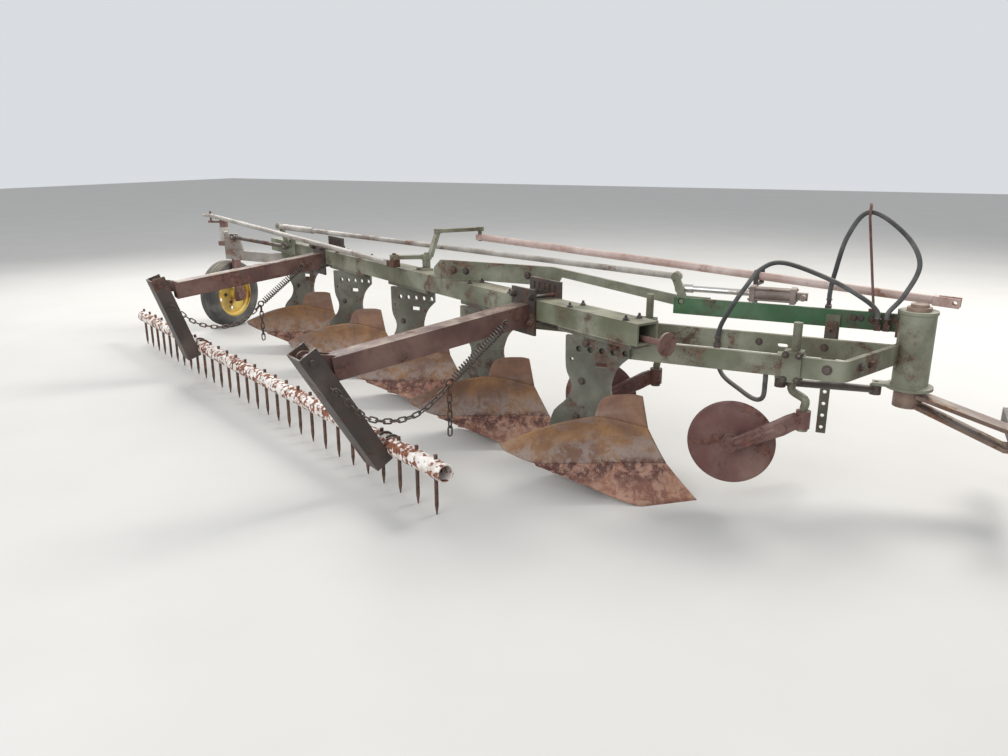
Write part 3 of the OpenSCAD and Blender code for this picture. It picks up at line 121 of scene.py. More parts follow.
class Coat:
    """The nodes of one material, with a short call for each kind that is used."""

    def __init__(self, name):
        self.material = bpy.data.materials.new(name)
        self.material.use_nodes = True
        self.tree = self.material.node_tree
        self.tree.nodes.clear()
        self.place = self.add("ShaderNodeTexCoord").outputs["Object"]
        self.output = self.add("ShaderNodeOutputMaterial")
        self.surface = self.add("ShaderNodeBsdfPrincipled")
        self.join(self.surface.outputs[0], self.output.inputs["Surface"])

    def add(self, kind, **settings):
        node = self.tree.nodes.new(kind)
        for key, value in settings.items():
            setattr(node, key, value)
        return node

    def join(self, source, target):
        self.tree.links.new(source, target)

    def give(self, socket, value):
        if isinstance(value, bpy.types.NodeSocket):
            self.join(value, socket)
        else:
            socket.default_value = value

    def noise(self, scale, detail, rough, stretch=(1, 1, 1), twist=0.0):
        mapping = self.add("ShaderNodeMapping")
        mapping.inputs["Scale"].default_value = stretch
        self.join(self.place, mapping.inputs["Vector"])
        texture = self.add("ShaderNodeTexNoise")
        texture.inputs["Scale"].default_value = scale
        texture.inputs["Detail"].default_value = detail
        texture.inputs["Roughness"].default_value = rough
        texture.inputs["Distortion"].default_value = twist
        self.join(mapping.outputs[0], texture.inputs["Vector"])
        return texture.outputs[0]

    def step(self, value, low, high):
        """0 below low, 1 above high, smooth between."""
        node = self.add("ShaderNodeMapRange", interpolation_type="SMOOTHSTEP")
        self.give(node.inputs["Value"], value)
        node.inputs["From Min"].default_value = low
        node.inputs["From Max"].default_value = high
        return node.outputs[0]

    def patches(self, low, high, scale, **noise):
        """Soft-edged patches: 0 where the noise is below low, 1 where it is above high."""
        return self.step(self.noise(scale, **noise), low, high)

    def spread(self, value, low, high):
        """low where the value is 0, high where it is 1."""
        node = self.add("ShaderNodeMapRange")
        self.join(value, node.inputs["Value"])
        node.inputs["To Min"].default_value = low
        node.inputs["To Max"].default_value = high
        return node.outputs[0]

    def work_out(self, operation, a, b):
        """Arithmetic with two values or sockets, the result kept between 0 and 1."""
        node = self.add("ShaderNodeMath", operation=operation, use_clamp=True)
        self.give(node.inputs[0], a)
        self.give(node.inputs[1], b)
        return node.outputs[0]

    def plus(self, a, b):
        return self.work_out("ADD", a, b)

    def minus(self, a, b):
        return self.work_out("SUBTRACT", a, b)

    def times(self, a, b):
        return self.work_out("MULTIPLY", a, b)

    def mix(self, share, a, b):
        """Colour a where the share is 0, colour b where it is 1."""
        node = self.add("ShaderNodeMix", data_type="RGBA")
        self.give(node.inputs[MIX_SHARE], share)
        for slot, colour in ((MIX_A, a), (MIX_B, b)):
            if not isinstance(colour, bpy.types.NodeSocket):
                colour = (*colour, 1)
            self.give(node.inputs[slot], colour)
        return node.outputs[MIX_RESULT]

    def facing_up(self):
        """0 on walls and undersides, 1 on flat tops."""
        normal = self.add("ShaderNodeNewGeometry").outputs["Normal"]
        parts = self.add("ShaderNodeSeparateXYZ")
        self.join(normal, parts.inputs[0])
        return self.step(parts.outputs["Z"], *DUST_FROM)

    def height(self):
        """The height in the piece's own frame."""
        parts = self.add("ShaderNodeSeparateXYZ")
        self.join(self.place, parts.inputs[0])
        return parts.outputs["Z"]

    def off_line(self, a, b):
        """The distance from the line through a and b."""
        from_a = self.add("ShaderNodeVectorMath", operation="SUBTRACT")
        self.join(self.place, from_a.inputs[0])
        from_a.inputs[1].default_value = a
        along = self.add("ShaderNodeVectorMath", operation="PROJECT")
        self.join(from_a.outputs[0], along.inputs[0])
        along.inputs[1].default_value = b - a
        gap = self.add("ShaderNodeVectorMath", operation="DISTANCE")
        self.join(from_a.outputs[0], gap.inputs[0])
        self.join(along.outputs[0], gap.inputs[1])
        return gap.outputs["Value"]

    def bump(self, value, strength, distance=0.002):
        node = self.add("ShaderNodeBump")
        node.inputs["Strength"].default_value = strength
        node.inputs["Distance"].default_value = distance
        self.join(value, node.inputs["Height"])
        return node.outputs[0]

    def finish(self, colour, rough, normal, metal=0.0):
        self.give(self.surface.inputs["Base Color"], colour)
        self.give(self.surface.inputs["Roughness"], rough)
        self.give(self.surface.inputs["Normal"], normal)
        self.give(self.surface.inputs["Metallic"], metal)
        return self.material


RUST_DARK = (0.085, 0.032, 0.018)
RUST_RED = (0.22, 0.075, 0.036)
RUST_ORANGE = (0.36, 0.155, 0.06)
DUST = (0.42, 0.36, 0.27)

# Heights over the hitch between which the look of the bottoms changes
BOARD_MIDDLE = (-0.14, -0.03)
BLOTCHES_LOW = (-0.29, -0.215)
BLOTCHES_HIGH = (-0.18, -0.155)

# Roughness of whole paint, of rust, and of a working face from dull to rubbed
PAINT_ROUGH = 0.5
RUST_ROUGH = 0.92
SOIL_RUBBED = (0.72, 0.5)


def painted(name, paint, faded, cover, rusts, dust=0.35):
    """Old paint over steel: cover is the share of the surface where rust has come through."""
    coat = Coat(name)
    blotch = coat.noise(7, detail=8, rough=0.62, twist=0.4)
    grain = coat.noise(98, detail=5, rough=0.7)
    chips = coat.plus(coat.times(blotch, 0.8), coat.times(grain, 0.22))
    edge = 0.64 - 0.28 * cover
    rust = coat.step(chips, edge - 0.03, edge + 0.03)
    stain = coat.step(chips, edge - 0.14, edge + 0.02)
    weather = coat.patches(0.35, 0.68, scale=4.2, detail=4, rough=0.5)
    skin = coat.mix(weather, paint, faded)
    skin = coat.mix(coat.times(stain, 0.45), skin, rusts[0])
    tone = coat.patches(0.35, 0.65, scale=35, detail=6, rough=0.7)
    colour = coat.mix(rust, skin, coat.mix(tone, *rusts))
    lying = coat.times(coat.facing_up(), coat.patches(0.38, 0.66, scale=9, detail=6, rough=0.6))
    colour = coat.mix(coat.times(lying, dust), colour, DUST)
    rough = coat.spread(rust, PAINT_ROUGH, RUST_ROUGH)
    relief = coat.minus(coat.times(grain, 0.6), coat.times(rust, 0.3))
    return coat.finish(colour, rough, coat.bump(relief, 0.55))


def ploughed(name, light, dark, bright, streak, blotch):
    """Working faces: rust over steel that the soil has rubbed along the furrow, with dark
    blotches along the joint of share and moldboard."""
    coat = Coat(name)
    slide = coat.noise(5, detail=8, rough=0.62, stretch=streak, twist=0.5)
    patch = coat.noise(4.2, detail=7, rough=0.6, twist=0.8)
    speck = coat.noise(90, detail=5, rough=0.72)
    mottle = coat.patches(0.42, 0.62, scale=17, detail=8, rough=0.72, twist=0.4)
    colour = coat.mix(coat.step(patch, 0.36, 0.66), dark, light)
    colour = coat.mix(coat.times(mottle, 0.4), colour, dark)
    colour = coat.mix(coat.times(coat.step(slide, 0.5, 0.72), 0.6), colour, bright)
    worn = coat.minus(1.0, coat.step(coat.height(), *BOARD_MIDDLE))
    colour = coat.mix(coat.times(worn, coat.minus(0.8, mottle)), colour, bright)
    below = coat.minus(1.0, coat.step(coat.height(), *BLOTCHES_HIGH))
    band = coat.times(below, coat.step(coat.height(), *BLOTCHES_LOW))
    spots = coat.patches(0.45, 0.55, scale=22, detail=9, rough=0.78, twist=0.3)
    colour = coat.mix(coat.times(coat.times(band, spots), 0.88), colour, blotch)
    pits = coat.step(speck, 0.56, 0.7)
    colour = coat.mix(coat.times(pits, 0.55), colour, RUST_DARK)
    rough = coat.spread(slide, *SOIL_RUBBED)
    relief = coat.plus(coat.times(speck, 0.5), coat.times(slide, 0.25))
    return coat.finish(colour, rough, coat.bump(relief, 0.45), metal=0.15)


# The harrow pipe's axis, and how far from it its paint ends and the bare spikes begin
PIPE_FRONT = along_tube(80, -825, 220)
PIPE_REAR = along_tube(4450, -1060, 230)
SPIKES_FROM = (0.0455, 0.0475)

# Pairs of colours between which patches change
PIPE_PAINT = ((0.74, 0.70, 0.66), (0.50, 0.42, 0.36))
PIPE_RUST = ((0.10, 0.035, 0.02), (0.30, 0.10, 0.05))
SPIKE_STEEL = ((0.05, 0.027, 0.018), (0.14, 0.065, 0.04))
ROD_STEEL = ((0.52, 0.51, 0.49), (0.24, 0.12, 0.07))


def flaking_pipe():
    """White paint that peels off a rusty pipe in small flakes; the spikes are bare."""
    coat = Coat("flaking_white_pipe")
    inward = frame["nodes"]["harrow_pipe"].matrix_world.inverted()
    bare = coat.step(coat.off_line(inward @ PIPE_FRONT, inward @ PIPE_REAR), *SPIKES_FROM)
    flakes = coat.add("ShaderNodeTexVoronoi", distance="MANHATTAN")
    flakes.inputs["Scale"].default_value = 38
    coat.join(coat.place, flakes.inputs["Vector"])
    islands = coat.noise(16, detail=7, rough=0.72, stretch=(0.5, 1, 1), twist=0.6)
    broken = coat.plus(coat.times(flakes.outputs["Distance"], 0.25), islands)
    lost = coat.step(broken, 0.70, 0.74)
    rust = coat.mix(coat.patches(0.4, 0.62, scale=60, detail=6, rough=0.7), *PIPE_RUST)
    paint = coat.mix(coat.patches(0.4, 0.7, scale=22, detail=5, rough=0.6), *PIPE_PAINT)
    colour = coat.mix(lost, paint, rust)
    spike = coat.mix(coat.patches(0.4, 0.65, scale=30, detail=6, rough=0.7), *SPIKE_STEEL)
    colour = coat.mix(bare, colour, spike)
    rough = coat.plus(coat.times(lost, 0.3), 0.55)
    relief = coat.minus(1.0, lost)
    return coat.finish(colour, rough, coat.bump(relief, 0.5, 0.003))


def rubber(name, base, pale, ridge):
    """Weathered rubber with dust and fine cracks: ridge is how fine they are."""
    coat = Coat(name)
    cracks = coat.noise(ridge, detail=8, rough=0.75, twist=1.2)
    bloom = coat.patches(0.38, 0.7, scale=6, detail=5, rough=0.6)
    colour = coat.mix(coat.times(bloom, 0.7), base, pale)
    colour = coat.mix(coat.times(coat.facing_up(), 0.35), colour, DUST)
    rough = coat.plus(coat.times(bloom, 0.15), 0.7)
    return coat.finish(colour, rough, coat.bump(cracks, 0.35, 0.0015))


def ground_rod():
    """A dull ground rod with pitting and rust stains."""
    coat = Coat("ground_rod")
    pits = coat.noise(120, detail=6, rough=0.7)
    stain = coat.patches(0.48, 0.7, scale=14, detail=6, rough=0.6)
    colour = coat.mix(stain, *ROD_STEEL)
    rough = coat.plus(coat.times(stain, 0.45), 0.34)
    metal = coat.minus(0.9, stain)
    return coat.finish(colour, rough, coat.bump(pits, 0.2, 0.0008), metal)


FINISHES = {
    "green_paint": painted("moss_green_paint", (0.10, 0.105, 0.062), (0.215, 0.22, 0.16), 0.16,
                           rusts=((0.062, 0.04, 0.028), (0.15, 0.09, 0.058))),
    "bright_green": painted("chalky_green_paint", (0.022, 0.085, 0.028), (0.07, 0.145, 0.07), 0.2,
                            rusts=((0.05, 0.032, 0.025), (0.12, 0.07, 0.05))),
    "brown_paint": painted("brown_red_primer", (0.078, 0.034, 0.028), (0.15, 0.082, 0.066), 0.22,
                           dust=0.5, rusts=((0.05, 0.026, 0.02), (0.15, 0.065, 0.045))),
    "board_steel": ploughed("board_rust", (0.29, 0.15, 0.06), (0.15, 0.078, 0.05),
                            (0.25, 0.20, 0.175), (1.0, 0.6, 3.5), (0.085, 0.03, 0.026)),
    "share_steel": ploughed("share_rust", (0.31, 0.145, 0.085), (0.17, 0.07, 0.05),
                            (0.36, 0.215, 0.15), (1.0, 0.8, 3.0), (0.06, 0.02, 0.018)),
    "maroon_paint": painted("maroon_rust", (0.10, 0.036, 0.031), (0.175, 0.098, 0.08), 0.25,
                            rusts=((0.06, 0.024, 0.02), (0.16, 0.07, 0.05))),
    "dark_steel": painted("dark_oily_steel", (0.036, 0.027, 0.023), (0.08, 0.06, 0.05), 0.24,
                          rusts=((0.04, 0.022, 0.016), (0.12, 0.055, 0.035))),
    "pale_steel": painted("weathered_pale_paint", (0.24, 0.215, 0.185), (0.40, 0.375, 0.34), 0.12,
                          rusts=((0.09, 0.055, 0.04), (0.2, 0.12, 0.085))),
    "pink_steel": painted("pinkish_primer", (0.40, 0.28, 0.245), (0.52, 0.42, 0.385), 0.1,
                          rusts=((0.2, 0.09, 0.06), (0.3, 0.16, 0.11))),
    "white_pipe": flaking_pipe(),
    "hose_rubber": rubber("hose_rubber", (0.035, 0.036, 0.036), (0.15, 0.15, 0.145), 160),
    "bright_rod": ground_rod(),
    "yellow_rim": painted("yellow_paint", (0.55, 0.34, 0.03), (0.55, 0.41, 0.10), 0.22,
                          rusts=(RUST_RED, RUST_ORANGE)),
    "tyre_rubber": rubber("tyre_rubber", (0.04, 0.038, 0.036), (0.15, 0.14, 0.125), 70),
}

# Nodes whose colour in the photograph differs from the rest of their slot
GREYED = painted("greyed_primer", (0.17, 0.125, 0.105), (0.28, 0.225, 0.19), 0.18,
                 rusts=((0.07, 0.035, 0.028), (0.16, 0.08, 0.055)))
# A darker copy of the moss green paint: painted shade on the standards, board brackets and parking
# stand
SHADED = painted("shaded_green_paint", (0.07, 0.072, 0.05), (0.15, 0.148, 0.115), 0.22,
                 rusts=((0.05, 0.032, 0.024), (0.12, 0.07, 0.048)))
BROWNED = ploughed("trash_board_rust", (0.25, 0.135, 0.08), (0.15, 0.078, 0.055),
                   (0.24, 0.17, 0.14), (1.0, 0.6, 3.5), (0.085, 0.03, 0.026))
TANNED = painted("tan_rust", (0.13, 0.08, 0.058), (0.29, 0.20, 0.15), 0.3,
                 rusts=((0.06, 0.032, 0.022), (0.24, 0.115, 0.06)))
OWN_FINISH = {"cylinder_barrel": GREYED, "standards": SHADED, "board_brackets": SHADED,
              "parking_stand": SHADED, "tongue": TANNED}


def coat_nodes():
    """Each carried-over node takes the finish of its slot in the record."""
    slots = {part["node"]: part["material_slot"] for part in frame["record"]["subparts"]}
    for name, obj in frame["nodes"].items():
        finish = OWN_FINISH.get(name, FINISHES[slots[name]])
        for slot in obj.material_slots:
            slot.material = finish


coat_nodes()

# Mesh helpers


def piece(name, mesh_source, slot, body):
    """A new object from a bmesh, in its finish, riding on a body."""
    mesh = bpy.data.meshes.new(name)
    mesh_source.to_mesh(mesh)
    mesh_source.free()
    obj = bpy.data.objects.new(name, mesh)
    bpy.context.collection.objects.link(obj)
    obj.data.materials.append(FINISHES[slot])
    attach(obj, body)
    return obj


def bridge(shape, rings, smooth=True):
    """Faces between each ring of vertices and the next."""
    for here, there in zip(rings, rings[1:]):
        for k in range(len(here)):
            q = (k + 1) % len(here)
            shape.faces.new((here[k], here[q], there[q], there[k])).smooth = smooth


def close_ends(shape, rings):
    """A face across the first ring and one across the last."""
    shape.faces.new(list(reversed(rings[0])))
    shape.faces.new(rings[-1])


def catmull(points, t):
    """The smooth curve of the CAD source through its points, at t from 0 to 1."""
    last = len(points) - 1
    i = min(last - 1, math.floor(t * last))
    f = t * last - i
    a, b, c, d = (points[max(0, min(last, i + k))] for k in (-1, 0, 1, 2))
    return b + 0.5 * f * (c - a + f * (2 * a - 5 * b + 4 * c - d + f * (3 * (b - c) + d - a)))


def tube_mesh(path, radius, sides):
    """A round tube along a path; radius is a number or a function of the ring's number."""
    shape = bmesh.new()
    rings = []
    side = None
    turns = [2 * math.pi * k / sides for k in range(sides)]
    for i, point in enumerate(path):
        ahead = (path[min(len(path) - 1, i + 1)] - path[max(0, i - 1)]).normalized()
        if side is None:
            side = ahead.orthogonal().normalized()
        side = (side - ahead * side.dot(ahead)).normalized()
        other = ahead.cross(side)
        r = radius(i) if callable(radius) else radius
        rings.append([shape.verts.new(point + r * (side * math.cos(a) + other * math.sin(a)))
                      for a in turns])
    bridge(shape, rings)
    close_ends(shape, rings)
    return shape


# Hoses, on the routes of the CAD source, with a sleeve at each end

HOSE_R = 0.011
HOSE_SIDES = 20
HOSE_RINGS = 120
SLEEVE_T = 0.0035
SLEEVE_RINGS = 4
HOSES = {
    "hose_loop": [(440, 610, 880), (440, 610, 920), (452, 602, 1010), (492, 585, 1190),
                  (577, 567.3, 1303), (729, 555, 1212), (805, 535, 1084), (762, 520, 946),
                  (706, 520, 860), (702, 520, 820)],
    "hose_side": [(-34, 393, 690), (-20, 393, 760), (28, 400, 860), (73, 410, 940),
                  (140, 423, 1035), (244, 423, 1069), (455, 440, 999), (600, 480, 915),
                  (656, 512, 860), (664, 520, 820)],
    "hose_low": [(-50, 452, 636), (-48, 450, 590), (0, 410, 505), (100, 320, 468),
                 (185, 210, 462), (238, 105, 505), (250, 52, 590), (250, 45, 636)],
}


def make_hose(name):
    route = [at(*p) for p in HOSES[name]]
    path = [catmull(route, k / HOSE_RINGS) for k in range(HOSE_RINGS + 1)]
    hose = piece(name + "_tube", tube_mesh(path, HOSE_R, HOSE_SIDES), "hose_rubber", "frame")
    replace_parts(hose, name)
    for label, ends in (("start", path[:SLEEVE_RINGS]), ("end", path[-SLEEVE_RINGS:])):
        sleeve = tube_mesh(ends, HOSE_R + SLEEVE_T, HOSE_SIDES)
        piece(name + "_sleeve_" + label, sleeve, "dark_steel", "frame")


for hose_name in HOSES:
    make_hose(hose_name)

# Bottoms: smooth sheets in place of the faceted ones. The lines are those of the first bottom;
# u runs along a line to the rear and v up from the lower line to the upper one.

BEHIND = Vector((-0.45, 0.78, -0.43)).normalized()
JOINT_LINE = [(-155, 0, 158), (-340, -95, 163), (-520, -200, 166), (-700, -298, 172),
              (-845, -336, 226)]
BOARD_TOP = [(-250, 0, 318), (-442, -100, 374), (-553, -170, 370), (-685, -260, 334),
             (-862, -332, 252)]
CUTTING_EDGE = [(0, 0, 0), (-188, -164, 1), (-240, -190, 6), (-340, -205, 28), (-455, -250, 82),
                (-630, -296, 146), (-688, -302, 160)]
TRASH_TOP = [(-282, 0, 470), (-330, -22, 479), (-428, -80, 475), (-462, -100, 440)]
SHARE_SPAN = 0.75
TRASH_SPAN = 5 / 16
SEAM = Vector((0, 0, 0.3))

# How deep the sheets are hollowed; a moldboard is deepest a little before its middle
BOARD_SAG = 30
BOARD_SAG_SHIFT = 0.08
SHARE_SAG = 7


def line(points, t):
    return catmull([Vector(p) for p in points], t)


def hollow(v):
    """0 at both edges of a sheet and 1 in its middle."""
    return 4 * v * (1 - v)


def board_at(u, v):
    sag = BOARD_SAG * hollow(v) * math.sin(math.pi * min(1, u + BOARD_SAG_SHIFT))
    low = line(JOINT_LINE, u) + SEAM
    return low.lerp(line(BOARD_TOP, u), v) + sag * BEHIND


def share_at(u, v):
    low = line(CUTTING_EDGE, u)
    return low.lerp(line(JOINT_LINE, SHARE_SPAN * u), v) + SHARE_SAG * hollow(v) * BEHIND


def trash_at(u, v):
    low = line(BOARD_TOP, TRASH_SPAN * u) + SEAM
    return low.lerp(line(TRASH_TOP, u), v)


def add_sheet(shape, surface, m, n, depth, offset):
    """A sheet behind a surface of two parameters, in m by n cells and depth mm thick."""
    layers = []
    for back in (0, depth):
        layers.append([[shape.verts.new(at(*(surface(i / m, j / n) + back * BEHIND)) + offset)
                        for j in range(n + 1)] for i in range(m + 1)])
    front, rear = layers
    for i in range(m):
        for j in range(n):
            shape.faces.new((front[i][j], front[i + 1][j], front[i + 1][j + 1],
                             front[i][j + 1])).smooth = True
            shape.faces.new((rear[i][j], rear[i][j + 1], rear[i + 1][j + 1],
                             rear[i + 1][j])).smooth = True
    rim = [(i, 0) for i in range(m)] + [(m, j) for j in range(n)]
    rim += [(i, n) for i in range(m, 0, -1)] + [(0, j) for j in range(n, 0, -1)]
    for (i, j), (next_i, next_j) in zip(rim, rim[1:] + rim[:1]):
        shape.faces.new((front[i][j], rear[i][j], rear[next_i][next_j], front[next_i][next_j]))


def make_sheets(name, node, surface, m, n, depth, slot):
    """One kind of sheet on all bottoms, in place of its CAD node."""
    shape = bmesh.new()
    for i in range(BOTTOMS):
        add_sheet(shape, surface, m, n, depth, step_of(i))
    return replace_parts(piece(name, shape, slot, "frame"), node)


make_sheets("smooth_moldboards", "moldboards", board_at, m=48, n=18, depth=9, slot="board_steel")
make_sheets("smooth_shares", "shares", share_at, m=36, n=9, depth=10, slot="share_steel")
trash_boards = make_sheets("smooth_trash_boards", "trash_boards", trash_at, m=15, n=9, depth=8,
                           slot="board_steel")
trash_boards.data.materials[0] = BROWNED

# Bolts, each with a washer

# The radius of each group's shanks and the length that most studs stand out, in metres
BOLT_R = {"standard": 0.0125, "near_rail": 0.0135, "rail_front": 0.0145, "far_rail": 0.012,
          "cross": 0.013, "plate": 0.011, "brace": 0.0145, "tube": 0.0115, "clamp": 0.0105,
          "wheel": 0.011}
STUD = 0.012
HEX = 6
WASHER_SIDES = 20
STUD_SIDES = 14
NEAR = (0, -1, 0)
FAR = (0, 1, 0)
UP = (0, 0, 1)

# Faces that carry bolts, where the CAD source has them
RAIL_Z = 640
RAIL_H = 90
RAIL_FACE = -2
RAIL_T = 25
STANDARD_T = 24
PLATE_NEAR = 557.3
PLATE_FAR = 577.3
BRACE_NEAR = 577.6
BRACE_T = 20
TUBE_TOP = 850

# Places of the bolts, on the first bottom where each bottom has them
STANDARD_BOLTS = ((-576, 514), (-500, 330), (-600, 330))
NEAR_RAIL_BOLTS = (-560, -420)
NEAR_RAIL_BOLT_Z = 700
RAIL_FRONT_BOLT = (500, RAIL_FACE, 688)
FAR_RAIL_BOLTS = (160, 455)
FAR_RAIL_BOLT_Z = 690
PLATE_BOLTS = (560, 590, 635)
PLATE_BOLT_Z = 815
BRACE_BOLTS = (-1600, -1520, -1130)
BRACE_BOLT_Z = 900
TUBE_BOLTS_S = (-190, 190, 675, 1055, 2405, 2785, 3270)
TUBE_BOLTS_O = (-42, 42)
CLAMP_BOLTS = (331, 385)
CLAMP_BOLTS_Z = (RAIL_Z - 9, RAIL_Z + RAIL_H + 9)
CLAMP_FACE = RAIL_FACE - 12.3

# The cross member runs on from the near rail's corner at this angle
CORNER = (586.1, 24.7)
CORNER_TURN = math.radians(66)
CROSS_BOLTS = (95, 180)
CROSS_BOLT_Z = 688


def add_turned(shape, place, axis, profile, sides, turn=0.0):
    """A turned or faceted solid: profile lists radius and height along axis, in metres."""
    side = axis.orthogonal().normalized()
    other = axis.cross(side)
    turns = [2 * math.pi * k / sides + turn for k in range(sides)]
    spokes = [side * math.cos(a) + other * math.sin(a) for a in turns]
    rings = [[shape.verts.new(place + axis * height + spoke * radius) for spoke in spokes]
             for radius, height in profile]
    bridge(shape, rings, smooth=sides > HEX)
    close_ends(shape, rings)


def add_bolt(shape, place, axis, r, stud=0.0):
    """A washer and a hexagon with worn corners in proportion to the shank's radius r, and
    the stud's end if it is a nut."""
    axis = Vector(axis).normalized()
    thick = 0.25 * r
    tall = 0.78 * r
    add_turned(shape, place, axis, [(1.45 * r, 0), (1.45 * r, thick)], WASHER_SIDES)
    turn = random.uniform(0, 1)
    top = place + axis * thick
    add_turned(shape, top, axis, [(1.1 * r, 0), (1.1 * r, 0.62 * r), (0.9 * r, tall)], HEX, turn)
    if stud:
        end = [(0.55 * r, 0), (0.55 * r, 0.8 * stud), (0.4 * r, stud)]
        add_turned(shape, top + axis * tall, axis, end, STUD_SIDES)


def bolt_through(shape, x, z, near_y, far_y, r):
    """A bolt across the plough, its head on the near side."""
    add_bolt(shape, at(x, near_y, z), NEAR, r)
    add_bolt(shape, at(x, far_y, z), FAR, r, STUD)


def standard_bolts(shape):
    for i in range(BOTTOMS):
        for x, z in STANDARD_BOLTS:
            near = at(x, RAIL_FACE - STANDARD_T, z) + step_of(i)
            far = near + Vector((0, STANDARD_T / 1000, 0))
            add_bolt(shape, near, NEAR, BOLT_R["standard"])
            add_bolt(shape, far, FAR, BOLT_R["standard"], stud=0.01)


def rail_bolts(shape):
    near_y, far_y = RAIL_FACE - STANDARD_T, RAIL_FACE + RAIL_T
    for x in NEAR_RAIL_BOLTS:
        bolt_through(shape, x, NEAR_RAIL_BOLT_Z, near_y, far_y, BOLT_R["near_rail"])
    add_bolt(shape, at(*RAIL_FRONT_BOLT), NEAR, BOLT_R["rail_front"])
    near_y, far_y = STEP_Y + RAIL_FACE, STEP_Y + RAIL_FACE + RAIL_T
    for x in FAR_RAIL_BOLTS:
        bolt_through(shape, x, FAR_RAIL_BOLT_Z, near_y, far_y, BOLT_R["far_rail"])


def cross_bolts(shape):
    ahead, left = math.cos(CORNER_TURN), math.sin(CORNER_TURN)
    for reach in CROSS_BOLTS:
        place = at(CORNER[0] + reach * ahead, CORNER[1] + reach * left, CROSS_BOLT_Z)
        add_bolt(shape, place, (left, -ahead, 0), BOLT_R["cross"])


def side_plate_bolts(shape):
    for x in PLATE_BOLTS:
        bolt_through(shape, x, PLATE_BOLT_Z, PLATE_NEAR, PLATE_FAR, BOLT_R["plate"])
    for x in BRACE_BOLTS:
        bolt_through(shape, x, BRACE_BOLT_Z, BRACE_NEAR, BRACE_NEAR + BRACE_T, BOLT_R["brace"])


def tube_bolts(shape):
    for s in TUBE_BOLTS_S:
        for o in TUBE_BOLTS_O:
            add_bolt(shape, along_tube(s, o, TUBE_TOP), UP, BOLT_R["tube"], STUD)


def coulter_bolts(shape):
    for i in range(len(COULTER_BODIES)):
        for x in CLAMP_BOLTS:
            for z in CLAMP_BOLTS_Z:
                place = at(x, CLAMP_FACE, z) + step_of(i)
                add_bolt(shape, place, NEAR, BOLT_R["clamp"], stud=0.014)


def make_bolts():
    shape = bmesh.new()
    for fill in (standard_bolts, rail_bolts, cross_bolts, side_plate_bolts, tube_bolts,
                 coulter_bolts):
        fill(shape)
    piece("frame_bolts", shape, "dark_steel", "frame")


make_bolts()

# Tail wheel

WHEEL = at(-4758, 2030, 300)
WHEEL_AXIS = Vector((1, 0, 0))
TYRE_TURNS = 120
WHEEL_NUTS = 5
NUT_CIRCLE = 0.078
NUT_FACE = 0.023


def wheel_spoke(a):
    """Outward from the wheel's axis, at angle a."""
    return Vector((0, math.cos(a), math.sin(a)))


def tyre_profile():
    """Radius and distance from the middle plane, once round the tyre's section."""
    half = [(0.2005, 0.0), (0.2005, 0.059), (0.207, 0.066), (0.219, 0.0715), (0.232, 0.0765),
            (0.236, 0.0765), (0.239, 0.079), (0.252, 0.0798), (0.268, 0.079), (0.272, 0.077),
            (0.280, 0.0755), (0.289, 0.070), (0.2945, 0.0625), (0.296, 0.060), (0.296, 0.050),
            (0.287, 0.0485), (0.287, 0.0435), (0.2985, 0.042), (0.2995, 0.024), (0.2885, 0.0225),
            (0.2885, 0.0175), (0.2998, 0.016), (0.3, 0.0)]
    return half + [(r, -x) for r, x in reversed(half[1:-1])]


def make_tyre():
    shape = bmesh.new()
    profile = tyre_profile()
    rings = []
    for k in range(TYRE_TURNS):
        spoke = wheel_spoke(2 * math.pi * k / TYRE_TURNS)
        rings.append([shape.verts.new(WHEEL + spoke * r + WHEEL_AXIS * x) for r, x in profile])
    bridge(shape, rings + rings[:1])
    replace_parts(piece("ribbed_tyre", shape, "tyre_rubber", "tail_wheel"), "tail_tyre")


def make_wheel_nuts():
    shape = bmesh.new()
    for k in range(WHEEL_NUTS):
        spoke = wheel_spoke(2 * math.pi * (k + 0.5) / WHEEL_NUTS)
        place = WHEEL + spoke * NUT_CIRCLE + WHEEL_AXIS * NUT_FACE
        add_bolt(shape, place, WHEEL_AXIS, BOLT_R["wheel"], stud=0.008)
    piece("wheel_nuts", shape, "dark_steel", "tail_wheel")


make_tyre()
make_wheel_nuts()

# Coulter arms, cast and wider than the bars under them

ARM_SIDES = 24

# From the swivel over the elbow to the disc's hub: middle, half width and half height
ARM_STATIONS = (((404, 4, 452), 17, 36), ((372, -14, 438), 17, 38), ((342, -29, 420), 16, 38),
                ((240, -30.5, 362), 15, 34), ((138, -31.5, 305), 14, 29))


def flattened(a):
    """A point of the rounded square whose x and y to the fourth power add up to 1."""
    c, s = math.cos(a), math.sin(a)
    return math.copysign(abs(c) ** 0.5, c), math.copysign(abs(s) ** 0.5, s)


def coulter_arm(i):
    """A flattened oval arm, riding on coulter i's yoke."""
    points = [at(*place) for place, _, _ in ARM_STATIONS]
    shape = bmesh.new()
    rings = []
    for k, (_, thin, tall) in enumerate(ARM_STATIONS):
        ahead = points[min(k + 1, len(points) - 1)] - points[max(k - 1, 0)]
        side = ahead.cross(Vector(UP)).normalized()
        up = side.cross(ahead).normalized()
        ring = []
        for j in range(ARM_SIDES):
            wide, high = flattened(2 * math.pi * j / ARM_SIDES)
            out = (side * thin * wide + up * tall * high) / 1000
            ring.append(shape.verts.new(points[k] + step_of(i) + out))
        rings.append(ring)
    bridge(shape, rings)
    shape.faces.new(rings[0])
    shape.faces.new(list(reversed(rings[-1])))
    piece("coulter_arm_" + str(i + 1), shape, "maroon_paint", COULTER_BODIES[i])


for coulter in range(len(COULTER_BODIES)):
    coulter_arm(coulter)

# Weld beads at both ends of the hitch post, and where the first standard's flange meets the tube

